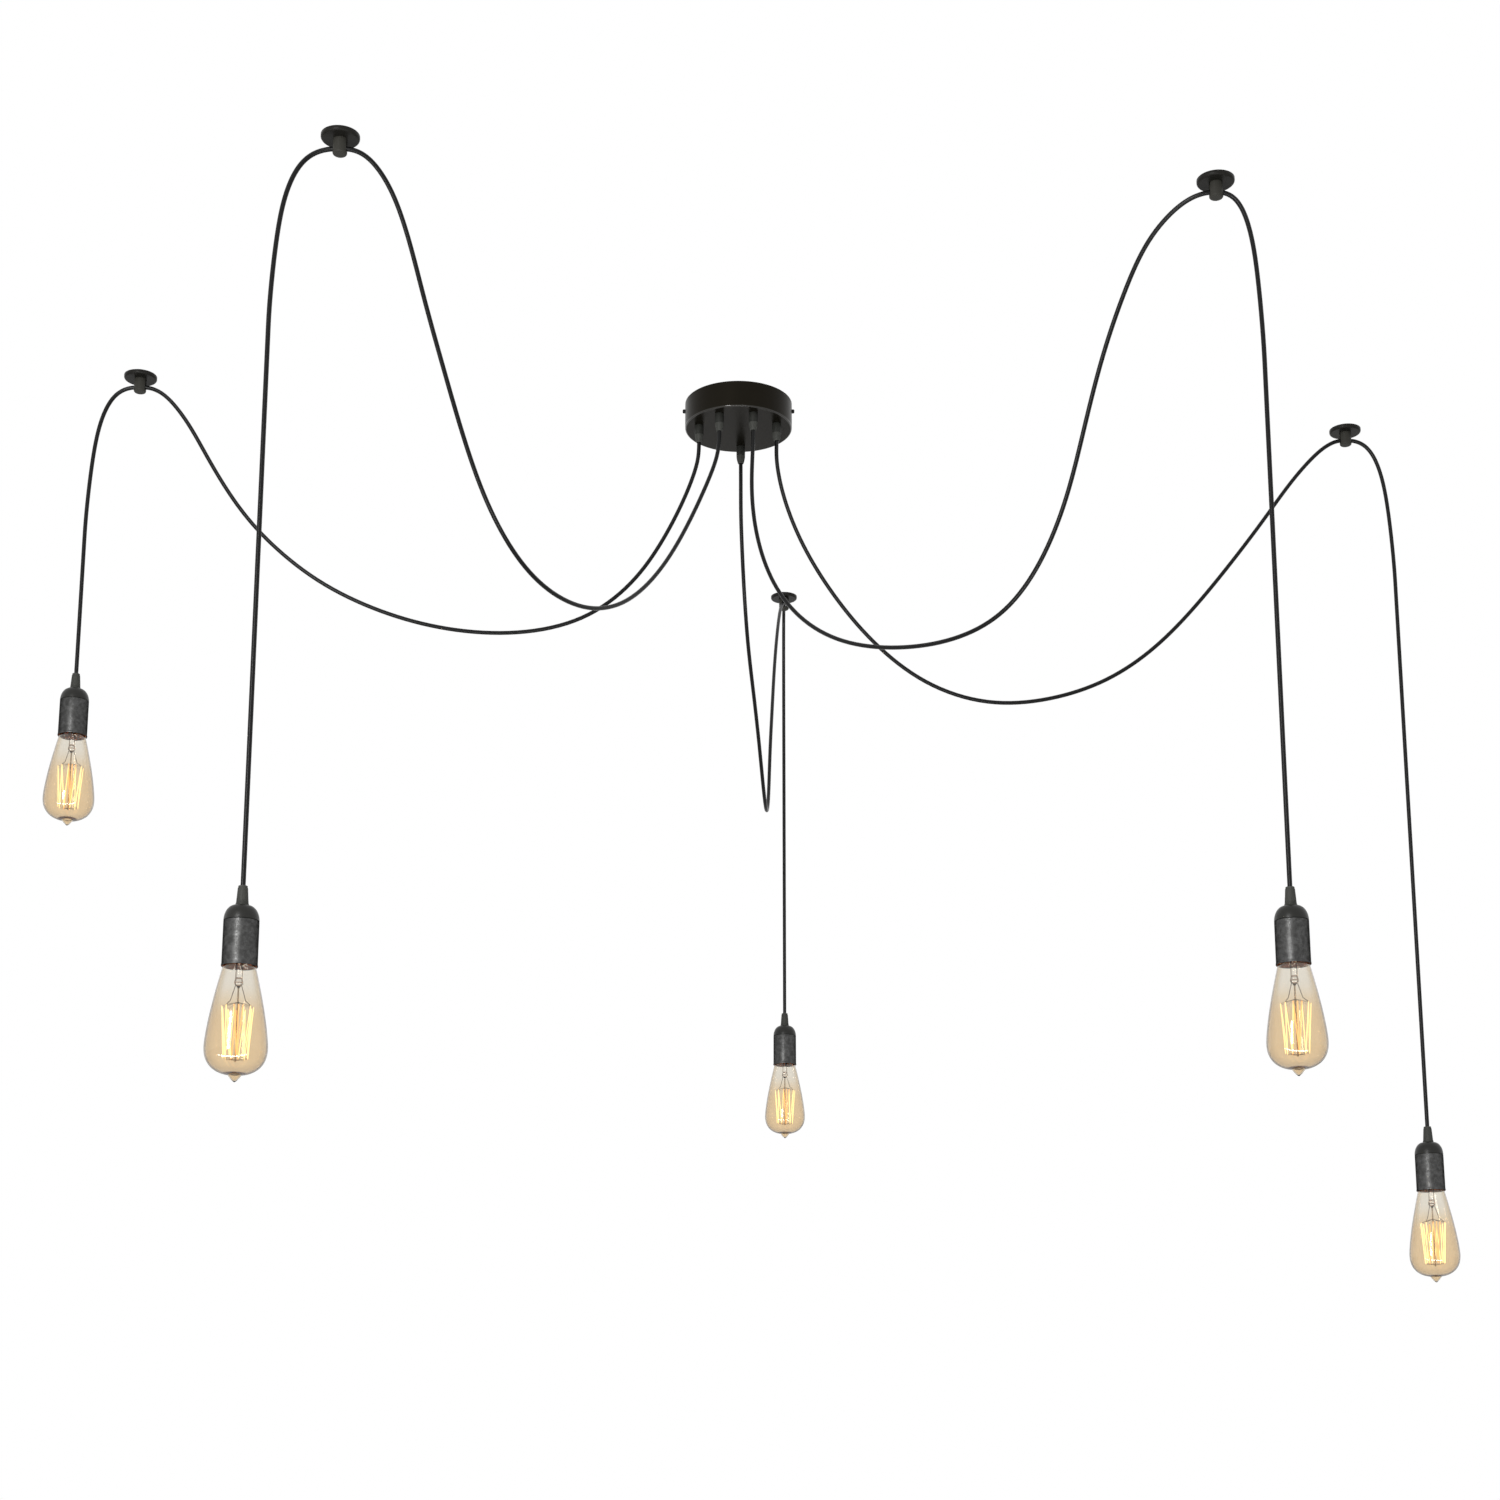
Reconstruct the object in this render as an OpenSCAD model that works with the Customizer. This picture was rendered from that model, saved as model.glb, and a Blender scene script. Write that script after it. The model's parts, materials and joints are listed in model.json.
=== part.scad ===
/* [Canopy] */
// Diameter of the ceiling canopy
canopy_d = 146; // [130:1:180]
// Height of the canopy below the ceiling
canopy_h = 37; // [32:1:60]
// Sheet thickness of the canopy
canopy_wall = 1.2; // [0.8:0.1:2]
// Radius of the canopy's lower edge
canopy_edge_r = 2; // [1.5:0.5:6]
// Gap between the canopy's rim and the ceiling
rim_gap = 0.5; // [0.3:0.1:1.5]
// Radius of the ring of cord outlets
outlet_ring_r = 55; // [48:1:58]
// Direction of the outlet that faces the back
outlet_turn = 87; // [80:1:95]
// Angle between neighbours among the four outlets that face the front
outlet_step = 49; // [40:1:55]

/* [Ceiling bracket] */
// Width of the bracket's strap
strap_w = 26; // [20:1:32]
// Thickness of the bracket's strap
strap_t = 2; // [1.5:0.1:3]
// Distance between the two ceiling screw holes
strap_hole_spacing = 90; // [70:1:100]
// Diameter of the ceiling screw holes
strap_hole_d = 5; // [4:0.5:6]
// Length of the tabs that carry the side screws
tab_h = 16; // [14:1:20]
// Radial clearance between the tabs and the canopy
tab_fit = 0.6; // [0.3:0.1:1.2]
// Depth of the side screws below the ceiling
side_screw_depth = 10; // [8:0.5:12]
// Thread diameter of the side screws
side_screw_d = 4; // [3:0.5:5]
// Diameter of the side screws' round heads
side_head_d = 5.6; // [5:0.2:10]
// Height of the side screws' round heads
side_head_h = 3.4; // [2:0.2:6]
// Clearance round a fixing screw in its hole
screw_fit = 0.2; // [0.1:0.05:0.4]

/* [Connector block] */
// Length of each wiring connector
connector_l = 36; // [30:1:44]
// Width of each wiring connector
connector_w = 10; // [8:1:12]
// Height of each wiring connector
connector_h = 14; // [10:1:16]
// Gap between the two connectors
connector_gap = 0.6; // [0.4:0.1:2]
// Number of wire ports in each connector
connector_ports = 6; // [5:1:8]
// Diameter of a wire port
port_d = 3; // [2:0.2:3.6]
// Depth of a wire port
port_depth = 8; // [6:0.5:8.5]

/* [Cord] */
// Outside diameter of the round cord
cord_d = 5.4; // [4.5:0.1:6]
// Radial clearance round the cord in its grips
cord_fit = 0.2; // [0.15:0.05:0.4]
// Radial clearance round the cord in the hooks' notches
notch_fit = 0.5; // [0.4:0.05:0.8]
// Diameter of the two cores inside the cord
core_d = 2; // [1.4:0.1:2.2]

/* [Canopy cord grips] */
// Diameter of the grip's barrel
outlet_grip_d = 12; // [11.5:0.1:16]
// Diameter of the grip at its lower end
outlet_tip_d = 7.6; // [7:0.1:10]
// Length of the grip's straight barrel
outlet_barrel_h = 13; // [8:0.5:16]
// Length of the grip's tapered nose, with the groove above it
outlet_taper_h = 12; // [8:0.5:18]
// Width and depth of the groove between the grip's barrel and its nose
outlet_groove = 0.6; // [0.3:0.1:1]
// Diameter of the hollow thread on every grip
thread_d = 10; // [9:0.5:11]
// Clearance round the thread in its hole, on the diameter
thread_fit = 0.4; // [0.2:0.1:0.8]
// Width of the grip's lock nut across its flats
nut_flats = 14; // [13:0.5:16]
// Thickness of the lock nut
nut_h = 3; // [2:0.5:4]
// How far a canopy grip's thread stands above its lock nut
thread_proud = 1; // [0.5:0.5:2]

/* [Ceiling hooks] */
// Diameter of the hook's round plate
plate_d = 43; // [36:1:60]
// Thickness of the hook's round plate
plate_h = 5; // [4:0.5:8]
// Radius of the plate's lower edge
plate_edge_r = 2.5; // [1:0.5:3.5]
// Diameter of the hook's stem
stem_d = 16; // [15:0.5:22]
// Length of the hook's stem below the plate
stem_h = 18; // [17.5:0.5:26]
// Radius of the stem's lower edge
stem_edge_r = 2; // [1:0.5:3]
// Diameter of the threaded boss inside the stem
boss_d = 9; // [8:0.5:10]
// Radial clearance between the boss and the stem
boss_fit = 0.3; // [0.2:0.1:0.6]
// Diameter of the stud hole in the hook's back
stud_d = 4; // [3:0.5:5]
// Depth of the stud hole
stud_depth = 8; // [6:0.5:10]
// Depth of the cord's axis below the ceiling at the hooks
cord_axis_depth = 16; // [15.5:0.5:18]

/* [Hook positions] */
// Hook of the front left pendant, across
hook_a_x = -435; // [-600:5:-300]
// Hook of the front left pendant, towards the back
hook_a_y = -665; // [-800:5:-500]
// Hook of the front right pendant, across
hook_b_x = 545; // [400:5:700]
// Hook of the front right pendant, towards the back
hook_b_y = -575; // [-700:5:-450]
// Hook of the left pendant, across
hook_c_x = -798; // [-900:1:-700]
// Hook of the left pendant, towards the back
hook_c_y = -85; // [-200:5:50]
// Hook of the right pendant, across
hook_d_x = 850; // [750:5:1000]
// Hook of the right pendant, towards the back
hook_d_y = 80; // [-50:5:200]
// Hook of the back pendant, across
hook_e_x = 72; // [0:1:150]
// Hook of the back pendant, towards the back
hook_e_y = 716; // [600:1:850]
// Depth of the front left lampholder's top below the ceiling
lamp_a_depth = 852; // [500:1:1400]
// Depth of the front right lampholder's top below the ceiling
lamp_b_depth = 830; // [500:1:1400]
// Depth of the left lampholder's top below the ceiling
lamp_c_depth = 418; // [350:1:1400]
// Depth of the right lampholder's top below the ceiling
lamp_d_depth = 987; // [500:1:1400]
// Depth of the back lampholder's top below the ceiling
lamp_e_depth = 694; // [500:1:1400]

/* [Lampholder] */
// Diameter of the lampholder's cord grip at its foot
grip_foot_d = 13.6; // [12:0.1:15]
// Diameter of the cord grip under its top collar
grip_top_d = 10.4; // [9.5:0.1:11.5]
// Height of the lampholder's cord grip
grip_h = 21; // [16:0.5:26]
// Height of the collars at the grip's two ends
grip_collar_h = 2.2; // [1:0.1:4]
// Depth of the steps at the collars' inner edges
collar_step = 0.4; // [0.2:0.1:0.8]
// Length of the grip's thread inside the dome
grip_thread_l = 7; // [5:0.5:9]
// Diameter of the black dome where it meets the sleeve
dome_d = 36.4; // [34:0.2:42]
// Diameter of the flat on top of the dome
dome_flat_d = 15; // [14:0.5:20]
// Height of the dome
dome_h = 16; // [12:0.5:22]
// Wall of the dome
dome_wall = 1.8; // [1.2:0.1:2.5]
// Length of the dome's skirt inside the sleeve
skirt_l = 6; // [4:0.5:8]
// Wall of the dome's skirt
skirt_wall = 2.1; // [1.5:0.1:3]
// Height of the metal sleeve
sleeve_h = 48; // [46:0.5:60]
// Outside diameter of the sleeve at its mouth
sleeve_mouth_d = 37.2; // [36.5:0.1:44]
// Wall of the sleeve
sleeve_wall = 1; // [0.6:0.1:1.4]
// Height of the rolled lip at the sleeve's mouth
lip_h = 1.6; // [1:0.1:3]
// How far the rolled lip stands out from the sleeve
lip_bulge = 0.3; // [0.1:0.1:0.6]
// Radial clearance between the lip and the bulb's glass
lip_fit = 0.7; // [0.4:0.1:1]
// Gap between parts that are screwed together
part_gap = 0.3; // [0.2:0.05:0.4]
// Height of the insulating insert
insert_h = 32; // [28:0.5:34]
// Radial clearance between the insert and the sleeve
insert_fit = 0.5; // [0.3:0.1:0.8]
// Radial clearance between the bulb's cap and the screw shell in the insert
shell_fit = 0.5; // [0.3:0.1:0.8]

/* [Bulb] */
// Largest diameter of the bulb
bulb_d = 64; // [50:1:80]
// Diameter of the bulb's glass at the sleeve's mouth
bulb_mouth_d = 33.4; // [30:0.1:34]
// Depth of the bulb's widest place below the sleeve's mouth
bulb_wide_depth = 83; // [60:1:100]
// Depth of the bulb's rounded end below its widest place
bulb_round_h = 29; // [20:1:35]
// Length of the pointed nose
nose_h = 7.5; // [4:0.5:12]
// Diameter of the nose where it leaves the round end
nose_d = 15; // [10:0.5:18]
// Thickness of the glass
glass_wall = 0.9; // [0.7:0.1:1.5]
// Outside diameter of the bulb's screw cap
bulb_cap_d = 26.4; // [26:0.1:27]
// Height of the bulb's metal screw shell
bulb_cap_h = 22; // [20:0.5:23]
// Height of the screw shell's foot above the sleeve's mouth
cap_inset = 8; // [6:0.5:9]
// Pitch of the screw cap's thread
cap_pitch = 3.63; // [3:0.01:4]
// Depth of the thread's grooves
cap_groove = 0.7; // [0.3:0.1:1]
// Thickness of the screw shell's sheet
cap_sheet = 0.3; // [0.2:0.05:0.5]
// Radial clearance between the glass neck and the screw shell
neck_fit = 0.35; // [0.3:0.05:0.6]
// Height of the glass neck inside the screw shell
neck_h = 8; // [7:0.5:12]
// Height of the insulator and contact above the screw shell
contact_h = 5; // [4:0.5:6]
// Height of the solder contact on the insulator
solder_h = 1.5; // [1:0.1:2]

/* [Filament] */
// Diameter of the clear glass stem
stem_tube_d = 7.4; // [5:0.2:8]
// Diameter of the clear rod below the stem
rod_d = 2.4; // [1.6:0.2:3]
// Depth of the stem's pinch below the sleeve's mouth
pinch_depth = 17; // [10:1:25]
// Radius of the filament cage at its top
cage_top_r = 16; // [8:0.5:18]
// Radius of the filament cage at its foot
cage_foot_r = 10; // [4:0.5:14]
// Depth of the cage's top below the sleeve's mouth
cage_top_depth = 44; // [34:1:50]
// Depth of the cage's foot below the sleeve's mouth
cage_foot_depth = 96; // [70:1:98]
// Number of hairpin loops in the cage
cage_loops = 5; // [3:1:8]
// Diameter of the filament and of its supports
wire_d = 0.6; // [0.4:0.1:1]

/* [Hidden] */
$fn = 64;

// The five pendants in order: front left, front right, left, right, back
PENDANTS = [0, 1, 2, 3, 4];
hook_at = [
    [hook_a_x, hook_a_y], [hook_b_x, hook_b_y], [hook_c_x, hook_c_y],
    [hook_d_x, hook_d_y], [hook_e_x, hook_e_y]
];
lamp_depth = [lamp_a_depth, lamp_b_depth, lamp_c_depth, lamp_d_depth, lamp_e_depth];
// Direction in which each cord passes over its hook, away from the canopy's side
hook_heading = [180, 0, 180, 0, 90];
// Steps of each pendant's outlet from the middle of the front; the back one stands alone
outlet_place = [-0.5, 0.5, -1.5, 1.5, 0];
back_pendant = 4;
function heading_vector(i) = [cos(hook_heading[i]), sin(hook_heading[i])];
function outlet_at(i) = let (
    a = i == back_pendant ? outlet_turn : outlet_turn + 180 + outlet_step * outlet_place[i]
) outlet_ring_r * [cos(a), sin(a)];

// How far each lamp hangs beyond its hook, and the depth at which its cord hangs plumb
overhang = [70, 46, 62, 58, 60];
plumb_depth = 232;
function plumb_at(i) = hook_at[i] + overhang[i] * heading_vector(i);

// Route of each swagged cord between its canopy grip and its hook: points across,
// towards the back and up, chosen on the curve that the cord hangs in
swag_route = [
    [
        [-27, -49, -98], [-44, -62, -150], [-69, -92, -222], [-99, -138, -298],
        [-138, -198, -366], [-182, -270, -404], [-228, -342, -406], [-264, -400, -380],
        [-294, -446, -330], [-317, -484, -264], [-335, -520, -202], [-352, -560, -144],
        [-365, -598, -90], [-380, -636, -48], [-402, -658, -22]
    ],
    [
        [19, -51, -98], [17, -51, -150], [23, -54, -214], [44, -67, -288],
        [84, -104, -356], [140, -162, -408], [210, -232, -438], [272, -296, -448],
        [322, -346, -434], [360, -386, -388], [389, -414, -318], [408, -440, -236],
        [427, -466, -160], [450, -498, -96], [472, -534, -50], [506, -564, -22]
    ],
    [
        [-55, -12, -92], [-71, -9, -138], [-100, -4, -198], [-141, -2, -262],
        [-206, -5, -316], [-294, -12, -338], [-388, -26, -337], [-476, -38, -316],
        [-560, -50, -278], [-630, -60, -220], [-672, -66, -168], [-706, -72, -112],
        [-732, -78, -64], [-762, -84, -26]
    ],
    [
        [51, -18, -92], [60, -14, -142], [85, -4, -206], [126, 8, -272],
        [180, 18, -338], [250, 28, -394], [336, 38, -420], [422, 46, -410],
        [502, 52, -381], [570, 58, -331], [628, 64, -268], [682, 68, -200],
        [730, 72, -136], [770, 76, -78], [812, 80, -30]
    ],
    [
        [3, 56, -96], [3, 58, -140], [5, 70, -190], [8, 96, -244],
        [13, 144, -300], [21, 204, -346], [29, 270, -398], [36, 328, -458],
        [41, 384, -478], [44, 426, -428], [46, 454, -350], [50, 494, -270],
        [54, 548, -180], [60, 602, -96], [66, 664, -34]
    ]
];
// Shape of the bend behind a hook: points along the heading, as if the lamp hung
// at bend_base beyond the hook, and down from the ceiling
bend_base = 64;
bend_route = [
    [14, -16], [31, -23], [45, -43], [55, -78], [60, -124], [63, -176], [64, -212]
];
cord_sides = 8;
core_sides = 6;
swag_steps = 4;
bend_steps = 2;
drop_ring_gap = 16;
// How far each pendant can swing, and the slot beside each pivot that this swing needs
swing_limit = 15;
slot_gap = 0.1;
swing_slot = cord_d / 2 * tan(swing_limit / 2) + slot_gap;
// Slope of the hook's notch on the side where the cord falls away
notch_slope = 15;
// Height of the swag's upper end above the canopy's lower face
cord_entry = 3;
// Straight run of the cord below its canopy grip
cord_lead = 8;
// Straight run of the cord before its hook
hook_lead = 14;
// Depth of the cord's lower end below the top of the lampholder's grip
cord_tail = 45;

// Exponents of the curves of the bulb's long side, its round end and its nose
side_swell = 1.38;
end_swell = 2.4;
nose_swell = 0.75;
// Exponent of the curve of a canopy grip's nose
grip_swell = 1.7;
// Steps along the bulb's long side, its round end, the dome's curve and a grip's nose
side_steps = 10;
end_steps = 12;
dome_steps = 12;
grip_steps = 6;
// Length of thread left inside the bracket's tab, the gap under each screw's head and the
// share of the head that is rounded
screw_tail = 1.5;
head_gap = 0.1;
crown_share = 0.6;
// How far a cut runs past the faces that it opens
cut = 1;

outer_r = canopy_d / 2;
inner_r = outer_r - canopy_wall;
cord_bore_r = cord_d / 2 + cord_fit;
outlet_grip_h = outlet_barrel_h + outlet_taper_h;
tab_face = sqrt(pow(inner_r, 2) - pow(strap_w / 2, 2)) - tab_fit;

// Heights on a lampholder, measured from the top of its cord grip
dome_top = -grip_h;
dome_foot = dome_top - dome_h;
skirt_foot = dome_foot - skirt_l;
mouth = dome_foot - sleeve_h;
sleeve_top_r = dome_d / 2;
sleeve_bore_r = sleeve_top_r - sleeve_wall;
insert_top = skirt_foot - part_gap;
insert_foot = insert_top - insert_h;
insert_r = sleeve_bore_r - insert_fit;
shell_bore_r = bulb_cap_d / 2 + shell_fit;
bulb_shell_foot = mouth + cap_inset;
bulb_shell_top = bulb_shell_foot + bulb_cap_h;
contact_top = bulb_shell_top + contact_h;
cap_bore_r = bulb_cap_d / 2 - cap_groove - cap_sheet;
neck_r = cap_bore_r - neck_fit;

// Curves

// One point of a uniform cubic B-spline, at t from 0 to 1 between its two middle points
function spline_point(a, b, c, d, t) =
    (pow(1 - t, 3) * a + (3 * pow(t, 3) - 6 * pow(t, 2) + 4) * b
        + (-3 * pow(t, 3) + 3 * pow(t, 2) + 3 * t + 1) * c + pow(t, 3) * d) / 6;

// A B-spline through the first and last point, with the given steps between points
function spline(p, steps) = let (
    n = len(p),
    q = concat([2 * p[0] - p[1]], p, [2 * p[n - 1] - p[n - 2]])
) concat(
    [for (i = [0 : n - 2], k = [0 : steps - 1])
        spline_point(q[i], q[i + 1], q[i + 2], q[i + 3], k / steps)],
    [p[n - 1]]
);

function unit(v) = v / norm(v);

// Directions along a line of points
function tangents(p) = [for (i = [0 : len(p) - 1])
    unit(p[min(i + 1, len(p) - 1)] - p[max(i - 1, 0)])];

// Side vectors that turn as little as possible from one ring to the next
function side_vectors(t, start, i = 0) = i == len(t) ? [] :
    let (s = unit(start - (start * t[i]) * t[i])) concat([s], side_vectors(t, s, i + 1));

// A direction that no cord runs along, from which a tube's first ring is turned
tube_side = [0.3, 0.5, 0.8];

// A round tube along a line of points
module tube(p, d, sides) {
    t = tangents(p);
    across = side_vectors(t, cross(t[0], tube_side));
    rings = [for (i = [0 : len(p) - 1], k = [0 : sides - 1])
        let (a = 360 * k / sides, up = cross(t[i], across[i]))
        p[i] + d / 2 * (cos(a) * across[i] + sin(a) * up)];
    last = sides * (len(p) - 1);
    walls = [for (i = [0 : len(p) - 2], k = [0 : sides - 1])
        let (
            a = sides * i + k,
            b = sides * i + (k + 1) % sides
        )
        each [[a, a + sides, b + sides], [a, b + sides, b]]];
    start_cap = [[for (k = [0 : sides - 1]) k]];
    end_cap = [[for (k = [0 : sides - 1]) last + sides - 1 - k]];
    polyhedron(concat(rings), concat(walls, start_cap, end_cap));
}

// Points on a circle's arc round a centre
function arc(centre, r, from, to, steps = 8) = [for (k = [0 : steps])
    let (a = from + (to - from) * k / steps) centre + r * [cos(a), sin(a)]];

// Canopy and bracket

module canopy_profile() {
    r = canopy_edge_r;
    low = -canopy_h;
    polygon(concat(
        [[0, low]],
        arc([outer_r - r, low + r], r, -90, 0),
        [[outer_r, -rim_gap], [inner_r, -rim_gap]],
        arc([outer_r - r, low + r], r - canopy_wall, 0, -90),
        [[0, low + canopy_wall]]
    ));
}

module at_outlets() {
    for (i = PENDANTS) {
        translate(concat(outlet_at(i), [-canopy_h])) children();
    }
}

module canopy_cup() color([0.09, 0.09, 0.085]) difference() {
    rotate_extrude() canopy_profile();
    at_outlets() {
        translate([0, 0, -cut]) cylinder(d = thread_d + thread_fit, h = canopy_wall + 2 * cut);
    }
    for (side = [0, 180]) {
        rotate([0, 0, side]) translate([inner_r - cut, 0, -side_screw_depth]) {
            rotate([0, 90, 0]) cylinder(d = side_screw_d + 2 * screw_fit, h = canopy_wall + 2 * cut);
        }
    }
}

module ceiling_bracket() color([0.72, 0.72, 0.7]) difference() {
    union() {
        translate([-tab_face, -strap_w / 2, -strap_t]) {
            cube([2 * tab_face, strap_w, strap_t]);
        }
        for (side = [0, 180]) {
            rotate([0, 0, side]) translate([tab_face - strap_t, -strap_w / 2, -tab_h]) {
                cube([strap_t, strap_w, tab_h]);
            }
        }
    }
    for (side = [-1, 1]) {
        translate([side * strap_hole_spacing / 2, 0, -strap_t - cut]) {
            cylinder(d = strap_hole_d, h = strap_t + 2 * cut);
        }
    }
    for (side = [0, 180]) {
        rotate([0, 0, side]) translate([tab_face - strap_t - cut, 0, -side_screw_depth]) {
            rotate([0, 90, 0]) cylinder(d = side_screw_d + screw_fit, h = strap_t + 2 * cut);
        }
    }
}

// A round-headed screw that lies along +X, with its head's seat at the origin
module side_screw(shank) {
    head_r = side_head_d / 2;
    crown = min(head_r, side_head_h) * crown_share;
    rotate([0, 90, 0]) rotate_extrude() polygon(concat(
        [[0, -shank], [side_screw_d / 2, -shank], [side_screw_d / 2, 0], [head_r, 0]],
        arc([head_r - crown, side_head_h - crown], crown, 0, 90),
        [[0, side_head_h]]
    ));
}

module side_screws() color([0.1, 0.1, 0.1]) for (side = [0, 180]) {
    rotate([0, 0, side]) translate([outer_r + head_gap, 0, -side_screw_depth]) {
        side_screw(outer_r + head_gap - tab_face + strap_t + screw_tail);
    }
}

connector_foot = -strap_t - connector_h;
function connector_y(side) = side * (connector_w + connector_gap) / 2;
function port_x(k) = ((k + 0.5) / connector_ports - 0.5) * connector_l;

// One connector takes the live cores and the other the neutral ones
module wiring_connectors() color([0.88, 0.87, 0.82]) for (side = [-1, 1]) {
    translate([0, connector_y(side), connector_foot]) difference() {
        translate([-connector_l / 2, -connector_w / 2, 0]) {
            cube([connector_l, connector_w, connector_h]);
        }
        for (k = [0 : connector_ports - 1]) {
            translate([port_x(k), 0, -cut]) cylinder(d = port_d, h = port_depth + cut);
        }
    }
}

// The port that each pendant's cores go to; the one left over is for the supply
lead_port = [1, 4, 0, 5, 3];
// Length of the cord's jacket above its lock nut
jacket_stub = 5;
jacket_top = -canopy_h + canopy_wall + nut_h + jacket_stub;
// Gap between two cores that cross or lie side by side, and the one left behind a core's end
core_gap = 1;
core_space = 0.2;
core_end_gap = 1;
// Drop from the connectors to the cores that cross to the nearer one; the cores to the
// farther connector cross below them
core_drop = 4;
near_core_z = connector_foot - core_drop;
far_core_z = near_core_z - core_d - core_gap;
// Distance from the strap's middle at which the cores turn towards their ports
core_turn_y = 20;
core_steps = 2;

module cord_core(i, side) {
    start = outlet_at(i);
    away = sign(start[1]);
    z = side == away ? near_core_z : far_core_z;
    x = port_x(lead_port[i]);
    y = connector_y(side);
    offset_x = side * away * (core_d + core_space) / 2;
    tube(spline([
        [start[0] + offset_x, start[1], jacket_top],
        [start[0] + offset_x, start[1], z],
        [(start[0] + x) / 2, (start[1] + away * core_turn_y) / 2, z],
        [x, away * core_turn_y, z],
        [x, (away * core_turn_y + y) / 2, z],
        [x, y, z],
        [x, y, connector_foot + port_depth - core_end_gap]
    ], core_steps), core_d, core_sides);
}

module cord_leads() color([0.07, 0.07, 0.07]) for (i = PENDANTS) {
    start = outlet_at(i);
    translate(concat(start, [-canopy_h + cord_entry])) {
        cylinder(d = cord_d, h = jacket_top + canopy_h - cord_entry);
    }
    cord_core(i, -1);
    cord_core(i, 1);
}

// Canopy cord grips

thread_top = canopy_wall + nut_h + thread_proud;

module outlet_grip() {
    r = outlet_grip_d / 2;
    nose_top = -outlet_barrel_h - outlet_groove;
    nose = [for (k = [0 : grip_steps]) let (u = k / grip_steps) [
        r - (r - outlet_tip_d / 2) * pow(u, grip_swell),
        nose_top - (outlet_grip_h + nose_top) * u
    ]];
    rotate_extrude() polygon(concat(
        [[cord_bore_r, thread_top], [thread_d / 2, thread_top], [thread_d / 2, 0]],
        [[r, 0], [r, -outlet_barrel_h], [r - outlet_groove, -outlet_barrel_h]],
        [[r - outlet_groove, nose_top]],
        nose,
        [[cord_bore_r, -outlet_grip_h]]
    ));
}

module outlet_grips() color([0.11, 0.11, 0.1]) at_outlets() outlet_grip();

module grip_nuts() color([0.8, 0.8, 0.78]) at_outlets() {
    translate([0, 0, canopy_wall]) difference() {
        cylinder(d = nut_flats / cos(30), h = nut_h, $fn = 6);
        translate([0, 0, -cut]) cylinder(d = thread_d + thread_fit, h = nut_h + 2 * cut);
    }
}

// Ceiling hooks

boss_foot = -(cord_axis_depth - cord_d / 2 - part_gap);
stem_foot = -plate_h - stem_h;
notch_r = cord_d / 2 + notch_fit;
notch_floor = -cord_axis_depth - notch_r;

module hook_plate() difference() {
    rotate_extrude() polygon(concat(
        [[0, 0]],
        [[plate_d / 2, 0]],
        arc([plate_d / 2 - plate_edge_r, -plate_h + plate_edge_r], plate_edge_r, 0, -90),
        [[boss_d / 2, -plate_h], [boss_d / 2, boss_foot], [0, boss_foot]]
    ));
    translate([0, 0, -stud_depth]) cylinder(d = stud_d, h = stud_depth + cut);
}

// The stem screws up over the boss and clamps the cord that lies in its two notches; beyond
// the boss the floor of the outer notch slopes down with the cord
module hook_stem() {
    r = stem_edge_r;
    difference() {
        rotate_extrude() polygon(concat(
            [[0, -plate_h], [stem_d / 2, -plate_h]],
            arc([stem_d / 2 - r, stem_foot + r], r, 0, -90),
            [[0, stem_foot]]
        ));
        translate([0, 0, notch_floor]) {
            cylinder(r = boss_d / 2 + boss_fit, h = -notch_floor);
        }
        translate([-stem_d, -notch_r, notch_floor]) {
            cube([2 * stem_d, 2 * notch_r, -notch_floor]);
        }
        translate([boss_d / 2, -notch_r, notch_floor]) rotate([0, notch_slope, 0]) {
            cube([stem_d, 2 * notch_r, notch_r]);
        }
    }
}

module at_hooks() for (i = PENDANTS) {
    translate(concat(hook_at[i], [0])) rotate([0, 0, hook_heading[i]]) children();
}

module hook_plates() color([0.1, 0.1, 0.095]) at_hooks() hook_plate();

module hook_stems() color([0.13, 0.13, 0.12]) at_hooks() hook_stem();

// Cords

module cord_swag(i) color([0.06, 0.06, 0.06]) {
    start = outlet_at(i);
    before = hook_at[i] - hook_lead * heading_vector(i);
    over = hook_at[i] - swing_slot * heading_vector(i);
    tube(spline(concat(
        [concat(start, [-canopy_h + cord_entry])],
        [concat(start, [-canopy_h - outlet_grip_h - cord_lead])],
        swag_route[i],
        [concat(before, [-cord_axis_depth]), concat(over, [-cord_axis_depth])]
    ), swag_steps), cord_d, cord_sides);
}

module cord_bend(i) color([0.06, 0.06, 0.06]) {
    over = hook_at[i] + swing_slot * heading_vector(i);
    reach = overhang[i] / bend_base;
    shape = [for (p = bend_route)
        concat(hook_at[i] + p[0] * reach * heading_vector(i), [p[1]])];
    tube(spline(concat(
        [concat(over, [-cord_axis_depth])],
        shape,
        [concat(plumb_at(i), [-plumb_depth + swing_slot])]
    ), bend_steps), cord_d, cord_sides);
}

module cord_drop(i) color([0.06, 0.06, 0.06]) {
    top = -plumb_depth - swing_slot;
    foot = -lamp_depth[i] - cord_tail;
    rings = ceil((top - foot) / drop_ring_gap);
    tube([for (k = [0 : rings]) concat(plumb_at(i), [top + (foot - top) * k / rings])],
        cord_d, cord_sides);
}

// Lampholder

module at_lamp(i) translate(concat(plumb_at(i), [-lamp_depth[i]])) children();

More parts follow.
